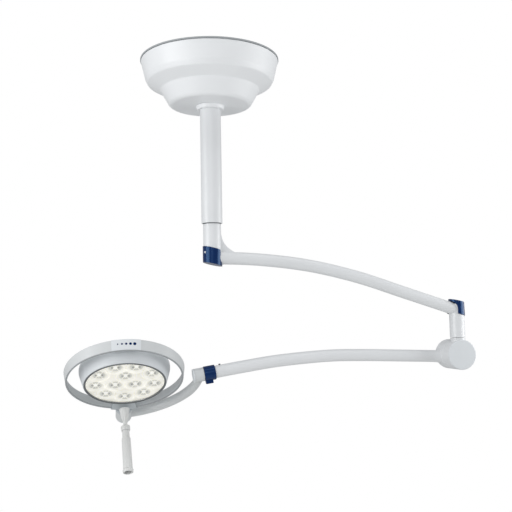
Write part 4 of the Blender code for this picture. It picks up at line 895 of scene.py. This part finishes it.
def build_ring():
    """The grip ring round the head, its plain badge plate and the brightness marks on it."""
    body = "head_body"
    piece("grip_ring", turned(ring_profile(fillet=0.0012), RING_SIDES), "white_powder_coat", body,
          AT_HEAD, ("ring_rail",), "grey_powder_coat")
    # painted shade: a thin grey strip along the band's lower edge stands in for the shade on the rim's
    # downward face; it takes the seal's grey
    inside, outside = RING_LOW_R - RING_WALL - 0.0003, RING_LOW_R + 0.0002
    shade_line = rounded([(inside, RING_LOW_Z - 0.0004, 0.0005), (outside, RING_LOW_Z - 0.0004, 0.0005),
                      (outside, RING_LOW_Z + 0.0012), (inside, RING_LOW_Z + 0.0012)])
    piece("ring_painted_shade_line", turned(shade_line, RING_SIDES), "grey_seal", body, AT_HEAD)
    low, top = RING_LOW_Z + 0.0006, RING_TOP_Z - 0.0006
    plate = rounded([(ring_radius(low) + GAP, low), (ring_radius(low) + 0.0018, low, 0.0006),
                     (ring_radius(top) + 0.0018, top, 0.0006), (ring_radius(top) + GAP, top)], 4)
    piece("badge_plate", sector(plate, 0.066, RING_TOP_R, NEAR), "white_plastic", body, AT_HEAD,
          ("ring_badge",))
    lean = math.atan2(RING_TOP_R - RING_LOW_R, RING_TOP_Z - RING_LOW_Z)
    middle = (RING_LOW_Z + RING_TOP_Z) / 2 + 0.0012
    bm = bmesh.new()
    for index in range(5):
        radius = 0.0016 + 0.0005 * index
        angle = NEAR + (index - 2) * 0.0095 / RING_TOP_R
        radial = Vector((math.cos(angle), math.sin(angle), 0))
        out = (radial * math.cos(lean) - Vector((0, 0, math.sin(lean)))).normalized()
        place = along(out, radial * (ring_radius(middle) + 0.0020) + Vector((0, 0, middle)))
        bmesh.ops.create_cone(bm, cap_ends=True, segments=40, radius1=radius, radius2=radius * 0.92,
                              depth=0.0004, matrix=place)
    piece("brightness_marks", mesh_from(bm), "blue_plastic", body, AT_HEAD)


def build_brackets():
    """The bracket that carries the ring and the pivot pin, and the small one on the near side."""
    body = "head_body"
    low, high = 0.0250, 0.0345
    bridge = [(HOUSING_R - 0.0004, low), (ring_radius(low) - RING_WALL - GAP, low),
              (ring_radius(high) - RING_WALL - GAP, high), (HOUSING_R + 0.0006, high)]
    piece("near_bridge", sector(bridge, 0.058, RING_LOW_R, NEAR), "white_plastic", body, AT_HEAD,
          ("near_bracket",), edge=sizes().edge * 0.6)
    wrap = [(FACE_R + 0.0077, 0.0075), (0.1425, 0.0075), (0.1480, 0.0130), (0.1480, 0.0330),
            (HOUSING_R + 0.0008, 0.0330), (HOUSING_R + 0.0006, 0.0300)]
    pivot = along((0, 1, 0), (0, 0, YOKE_AXIS_Z))
    face, pin_end = KNUCKLE_NEAR_Y - 0.0004, KNUCKLE_FAR_Y - 0.0065
    groove = pin_end - 0.0040
    pin = turned([(0, 0.1450), (0.0165, 0.1450), (0.0165, face), (0.0070, face), (0.0070, groove),
                  (0.0060, groove), (0.0060, groove + 0.0018), (0.0070, groove + 0.0018),
                  (0.0070, pin_end), (0, pin_end)], 64)
    wedge = extruded([(-0.0210, 0.0180), (-0.0205, 0.0095), (-0.0115, -0.0005), (0.0115, -0.0005),
                      (0.0205, 0.0095), (0.0210, 0.0180)], -face - 0.0002, -0.1440)
    solid = worked(sector(wrap, 0.064, RING_TOP_R, FAR), "UNION", placed(pin, pivot),
                   placed(wedge, Matrix.Rotation(math.pi / 2, 4, "X")))
    hollow = sector(ring_profile(0.0005, RING_TOP_Z + 0.010), 0.090, RING_TOP_R, FAR)
    # the pivot bracket takes the darker grey of painted shade
    piece("pivot_bracket", worked(solid, "DIFFERENCE", hollow), "white_plastic", body, AT_HEAD,
          ("far_bracket",), "bracket_painted_shade", sizes().edge * 0.5)


# ---------------------------------------------------------------- handle

def build_handle():
    """The fluted stem, the release ring and the removable grip."""
    cone = rounded([(0, STEM_END_Z - 0.0440), (0.0050, STEM_END_Z - 0.0440, 0.0006), (0.0050, STEM_END_Z),
                    (0.0125, -0.0040), (0.0130, -0.0027), (0, -0.0027)])
    flutes = []
    for index in range(sizes().flutes):
        angle = 2 * math.pi * (index + 0.5) / sizes().flutes
        direction = Vector((math.cos(angle), math.sin(angle), 0))
        flutes.append(tube([direction * 0.0150 + Vector((0, 0, -0.004)),
                            direction * 0.0078 + Vector((0, 0, STEM_END_Z + 0.006))], 0.0030, None, 6))
    piece("stem_moulding", worked(turned(cone, 96), "DIFFERENCE", *flutes), "white_plastic", "head_body",
          AT_HANDLE, ("handle_stem",), "grip_plastic")
    top, neck_end, end = KNOB_END_Z - 0.0005, -0.0780, SLEEVE_END_Z
    sleeve = rounded([(0.0053, top), (0.0053, top - 0.024), (0.0094, top - 0.030), (0.0094, end, 0.0004),
                      (0.0122, end, 0.0008), (0.0126, end + 0.0060, 0.0015), (0.0112, end + 0.0085, 0.002),
                      (0.0106, neck_end - 0.0030, 0.002), (0.0088, neck_end, 0.001), (0.0086, top, 0.0003)])
    piece("grip_sleeve", turned(sleeve), "white_plastic", "handle_body", AT_HANDLE, ("handle_sleeve",),
          "grip_plastic")
    knob_top = STEM_END_Z - 0.0045
    knob = rounded([(0.0053, KNOB_END_Z), (0.0106, KNOB_END_Z, 0.001), (0.0112, KNOB_END_Z + 0.0035, 0.0004),
                    (0.0102, KNOB_END_Z + 0.0042), (0.0102, KNOB_END_Z + 0.0056),
                    (0.0112, KNOB_END_Z + 0.0063, 0.0004), (0.0110, knob_top - 0.0025, 0.002),
                    (0.0078, knob_top), (0.0053, knob_top)], 4)
    piece("release_knob", turned(knob), "white_plastic", "release_body", AT_HANDLE, ("release_ring",),
          "grip_plastic")
    button = rounded([(0, 0.0665), (0.0105, 0.0665), (0.0105, 0.0688), (0.0086, 0.0688),
                      (0.0086, 0.0755, 0.0012), (0, 0.0765)])
    piece("switch_button", turned(button), "blue_plastic", "button_body", AT_HEAD, ("power_button",))


# ---------------------------------------------------------------- hidden pieces and studio

def finish_frame():
    """Gives every node that still shows the finish of its material slot."""
    for entry in frame["record"]["subparts"]:
        node = frame["nodes"][entry["node"]]
        node.data.materials.clear()
        node.data.materials.append(MATERIALS[entry["material_slot"]])


def softbox(name, power, size, place):
    """A soft rectangular light that faces the object's middle."""
    light = bpy.data.lights.new(name, "AREA")
    light.shape, light.size, light.size_y, light.energy = "RECTANGLE", *size, power
    obj = bpy.data.objects.new(name, light)
    obj.matrix_world = along(Vector(place) - Vector(LIGHTS_AIM), place)
    bpy.context.collection.objects.link(obj)


def build_stage():
    """The floor, the soft lights, the pale surround and the camera."""
    stage = bpy.context.scene.dental_light_stage
    bm = bmesh.new()
    bmesh.ops.create_circle(bm, cap_ends=True, segments=96, radius=FLOOR_R,
                            matrix=Matrix.Translation((FLOOR_X, FLOOR_Y, -stage.floor_drop)))
    mesh = bpy.data.meshes.new("studio_floor")
    bm.to_mesh(mesh)
    bm.free()
    floor = bpy.data.objects.new("studio_floor", mesh)
    mesh.materials.append(finish("painted_floor", finishes().floor, 0.7, 6 * MM, 0.05 * MM, 0.4))
    bpy.context.collection.objects.link(floor)

    softbox("softbox_left", stage.left_light, (0.9, 2.0), (-1.9, -0.9, -0.5))
    softbox("softbox_right", stage.right_light, (0.9, 2.0), (2.3, -0.6, -0.5))
    softbox("softbox_over", stage.top_light, (2.6, 1.6), (0.1, -0.4, 1.3))
    softbox("softbox_low", stage.low_light, (2.4, 1.0), (0.0, -1.6, -2.1))
    softbox("softbox_front", stage.front_light, (1.6, 1.2), (-0.6, -3.0, 0.4))

    world = bpy.data.worlds.new("studio_surround")
    world.use_nodes = True
    bpy.context.scene.world = world
    back = world.node_tree.nodes["Background"]
    back.inputs["Color"].default_value = (0.97, 0.985, 1.0, 1.0)
    back.inputs["Strength"].default_value = stage.surround
    seen = add_node(world, "ShaderNodeBackground", {"Color": (1, 1, 1, 1), "Strength": 1.0})
    rays = add_node(world, "ShaderNodeLightPath").outputs["Is Camera Ray"]
    mixed = add_node(world, "ShaderNodeMixShader", {0: rays, 1: back.outputs[0], 2: seen.outputs[0]})
    world.node_tree.links.new(mixed.outputs[0], world.node_tree.nodes["World Output"].inputs["Surface"])
    bpy.context.scene.view_settings.view_transform = "Standard"

    camera = bpy.data.cameras.new("camera")
    camera.lens, camera.sensor_width, camera.sensor_fit = stage.focal_length, 36.0, "HORIZONTAL"
    camera.clip_start, camera.clip_end = 0.05, 50.0
    obj = bpy.data.objects.new("camera", camera)
    obj.matrix_world = (Matrix.Translation(CAMERA_PLACE) @ Matrix.Rotation(CAMERA_YAW, 4, "Z")
                        @ Matrix.Rotation(math.pi / 2 + CAMERA_PITCH, 4, "X")
                        @ Matrix.Rotation(CAMERA_ROLL, 4, "Z"))
    bpy.context.collection.objects.link(obj)
    bpy.context.scene.camera = obj


# ---------------------------------------------------------------- operators and panel

class DENTAL_LIGHT_OT_materials(bpy.types.Operator):
    """Makes the finishes and gives them to the frame's own nodes."""
    bl_idname = "dental_light.materials"
    bl_label = "Make finishes"

    def execute(self, context):
        MATERIALS.update(make_materials())
        finish_frame()
        return {"FINISHED"}


class DENTAL_LIGHT_OT_canopy(bpy.types.Operator):
    """Builds the ceiling canopy with its edge seal, stop ring and grub screw."""
    bl_idname = "dental_light.canopy"
    bl_label = "Build canopy"

    def execute(self, context):
        build_canopy()
        return {"FINISHED"}


class DENTAL_LIGHT_OT_pole(bpy.types.Operator):
    """Builds the ceiling tube and the bearing flange at its end."""
    bl_idname = "dental_light.pole"
    bl_label = "Build pole"

    def execute(self, context):
        build_pole()
        return {"FINISHED"}


class DENTAL_LIGHT_OT_upper_arm(bpy.types.Operator):
    """Builds the painted upper arm and its brake bolt."""
    bl_idname = "dental_light.upper_arm"
    bl_label = "Build upper arm"

    def execute(self, context):
        build_upper_arm()
        return {"FINISHED"}


class DENTAL_LIGHT_OT_end_caps(bpy.types.Operator):
    """Builds the glossy caps on the upper arm and their screws."""
    bl_idname = "dental_light.end_caps"
    bl_label = "Build end caps"

    def execute(self, context):
        build_end_caps()
        return {"FINISHED"}


class DENTAL_LIGHT_OT_drum(bpy.types.Operator):
    """Builds the fixed half of the spring drum and its front lid."""
    bl_idname = "dental_light.drum"
    bl_label = "Build drum"

    def execute(self, context):
        build_drum()
        return {"FINISHED"}


class DENTAL_LIGHT_OT_lower_arm(bpy.types.Operator):
    """Builds the lower arm, the drum's rear lid and the brake bolt."""
    bl_idname = "dental_light.lower_arm"
    bl_label = "Build lower arm"

    def execute(self, context):
        build_lower_arm()
        return {"FINISHED"}


class DENTAL_LIGHT_OT_end_collar(bpy.types.Operator):
    """Builds the glossy collar on the lower arm's end and its screw."""
    bl_idname = "dental_light.end_collar"
    bl_label = "Build end collar"

    def execute(self, context):
        build_end_collar()
        return {"FINISHED"}


class DENTAL_LIGHT_OT_yoke(bpy.types.Operator):
    """Builds the C-shaped arm, its end plug and the knuckle's lid."""
    bl_idname = "dental_light.yoke"
    bl_label = "Build yoke"

    def execute(self, context):
        build_yoke()
        return {"FINISHED"}


class DENTAL_LIGHT_OT_housing(bpy.types.Operator):
    """Builds the head's housing, back cover and bezel."""
    bl_idname = "dental_light.housing"
    bl_label = "Build housing"

    def execute(self, context):
        build_housing()
        return {"FINISHED"}


class DENTAL_LIGHT_OT_optics(bpy.types.Operator):
    """Builds the front glass and the lens plate."""
    bl_idname = "dental_light.optics"
    bl_label = "Build optics"

    def execute(self, context):
        build_optics()
        return {"FINISHED"}


class DENTAL_LIGHT_OT_ring(bpy.types.Operator):
    """Builds the grip ring, its badge plate and the brightness marks."""
    bl_idname = "dental_light.ring"
    bl_label = "Build ring"

    def execute(self, context):
        build_ring()
        return {"FINISHED"}


class DENTAL_LIGHT_OT_brackets(bpy.types.Operator):
    """Builds the pivot bracket and the bridge on the near side."""
    bl_idname = "dental_light.brackets"
    bl_label = "Build brackets"

    def execute(self, context):
        build_brackets()
        return {"FINISHED"}


class DENTAL_LIGHT_OT_handle(bpy.types.Operator):
    """Builds the stem, release knob, grip sleeve and switch button."""
    bl_idname = "dental_light.handle"
    bl_label = "Build handle"

    def execute(self, context):
        build_handle()
        return {"FINISHED"}


class DENTAL_LIGHT_OT_stage(bpy.types.Operator):
    """Builds the floor, lights, surround and camera."""
    bl_idname = "dental_light.stage"
    bl_label = "Build studio"

    def execute(self, context):
        build_stage()
        return {"FINISHED"}


class DENTAL_LIGHT_PT_panel(bpy.types.Panel):
    """The settings and builders of the light."""
    bl_label = "Dental Light"
    bl_space_type = "VIEW_3D"
    bl_region_type = "UI"
    bl_category = "Dental Light"

    def draw(self, context):
        for settings in (sizes(), finishes(), context.scene.dental_light_stage):
            box = self.layout.box()
            for name in settings.__annotations__:
                box.prop(settings, name)
        for builder in OPERATORS:
            self.layout.operator(builder.bl_idname)


SETTINGS = (LightFinishes, LightSizes, LightStage)
OPERATORS = (DENTAL_LIGHT_OT_materials, DENTAL_LIGHT_OT_canopy, DENTAL_LIGHT_OT_pole,
             DENTAL_LIGHT_OT_upper_arm, DENTAL_LIGHT_OT_end_caps, DENTAL_LIGHT_OT_drum,
             DENTAL_LIGHT_OT_lower_arm, DENTAL_LIGHT_OT_end_collar, DENTAL_LIGHT_OT_yoke,
             DENTAL_LIGHT_OT_housing, DENTAL_LIGHT_OT_optics, DENTAL_LIGHT_OT_ring,
             DENTAL_LIGHT_OT_brackets, DENTAL_LIGHT_OT_handle, DENTAL_LIGHT_OT_stage)


def register():
    for cls in (*SETTINGS, *OPERATORS, DENTAL_LIGHT_PT_panel):
        bpy.utils.register_class(cls)
    bpy.types.Scene.dental_light_finishes = PointerProperty(type=LightFinishes)
    bpy.types.Scene.dental_light_sizes = PointerProperty(type=LightSizes)
    bpy.types.Scene.dental_light_stage = PointerProperty(type=LightStage)


def unregister():
    del bpy.types.Scene.dental_light_stage
    del bpy.types.Scene.dental_light_sizes
    del bpy.types.Scene.dental_light_finishes
    for cls in (DENTAL_LIGHT_PT_panel, *reversed(OPERATORS), *reversed(SETTINGS)):
        bpy.utils.unregister_class(cls)


def main():
    register()
    for builder in OPERATORS:
        group, name = builder.bl_idname.split(".")
        getattr(getattr(bpy.ops, group), name)()


if __name__ == "__main__":
    main()
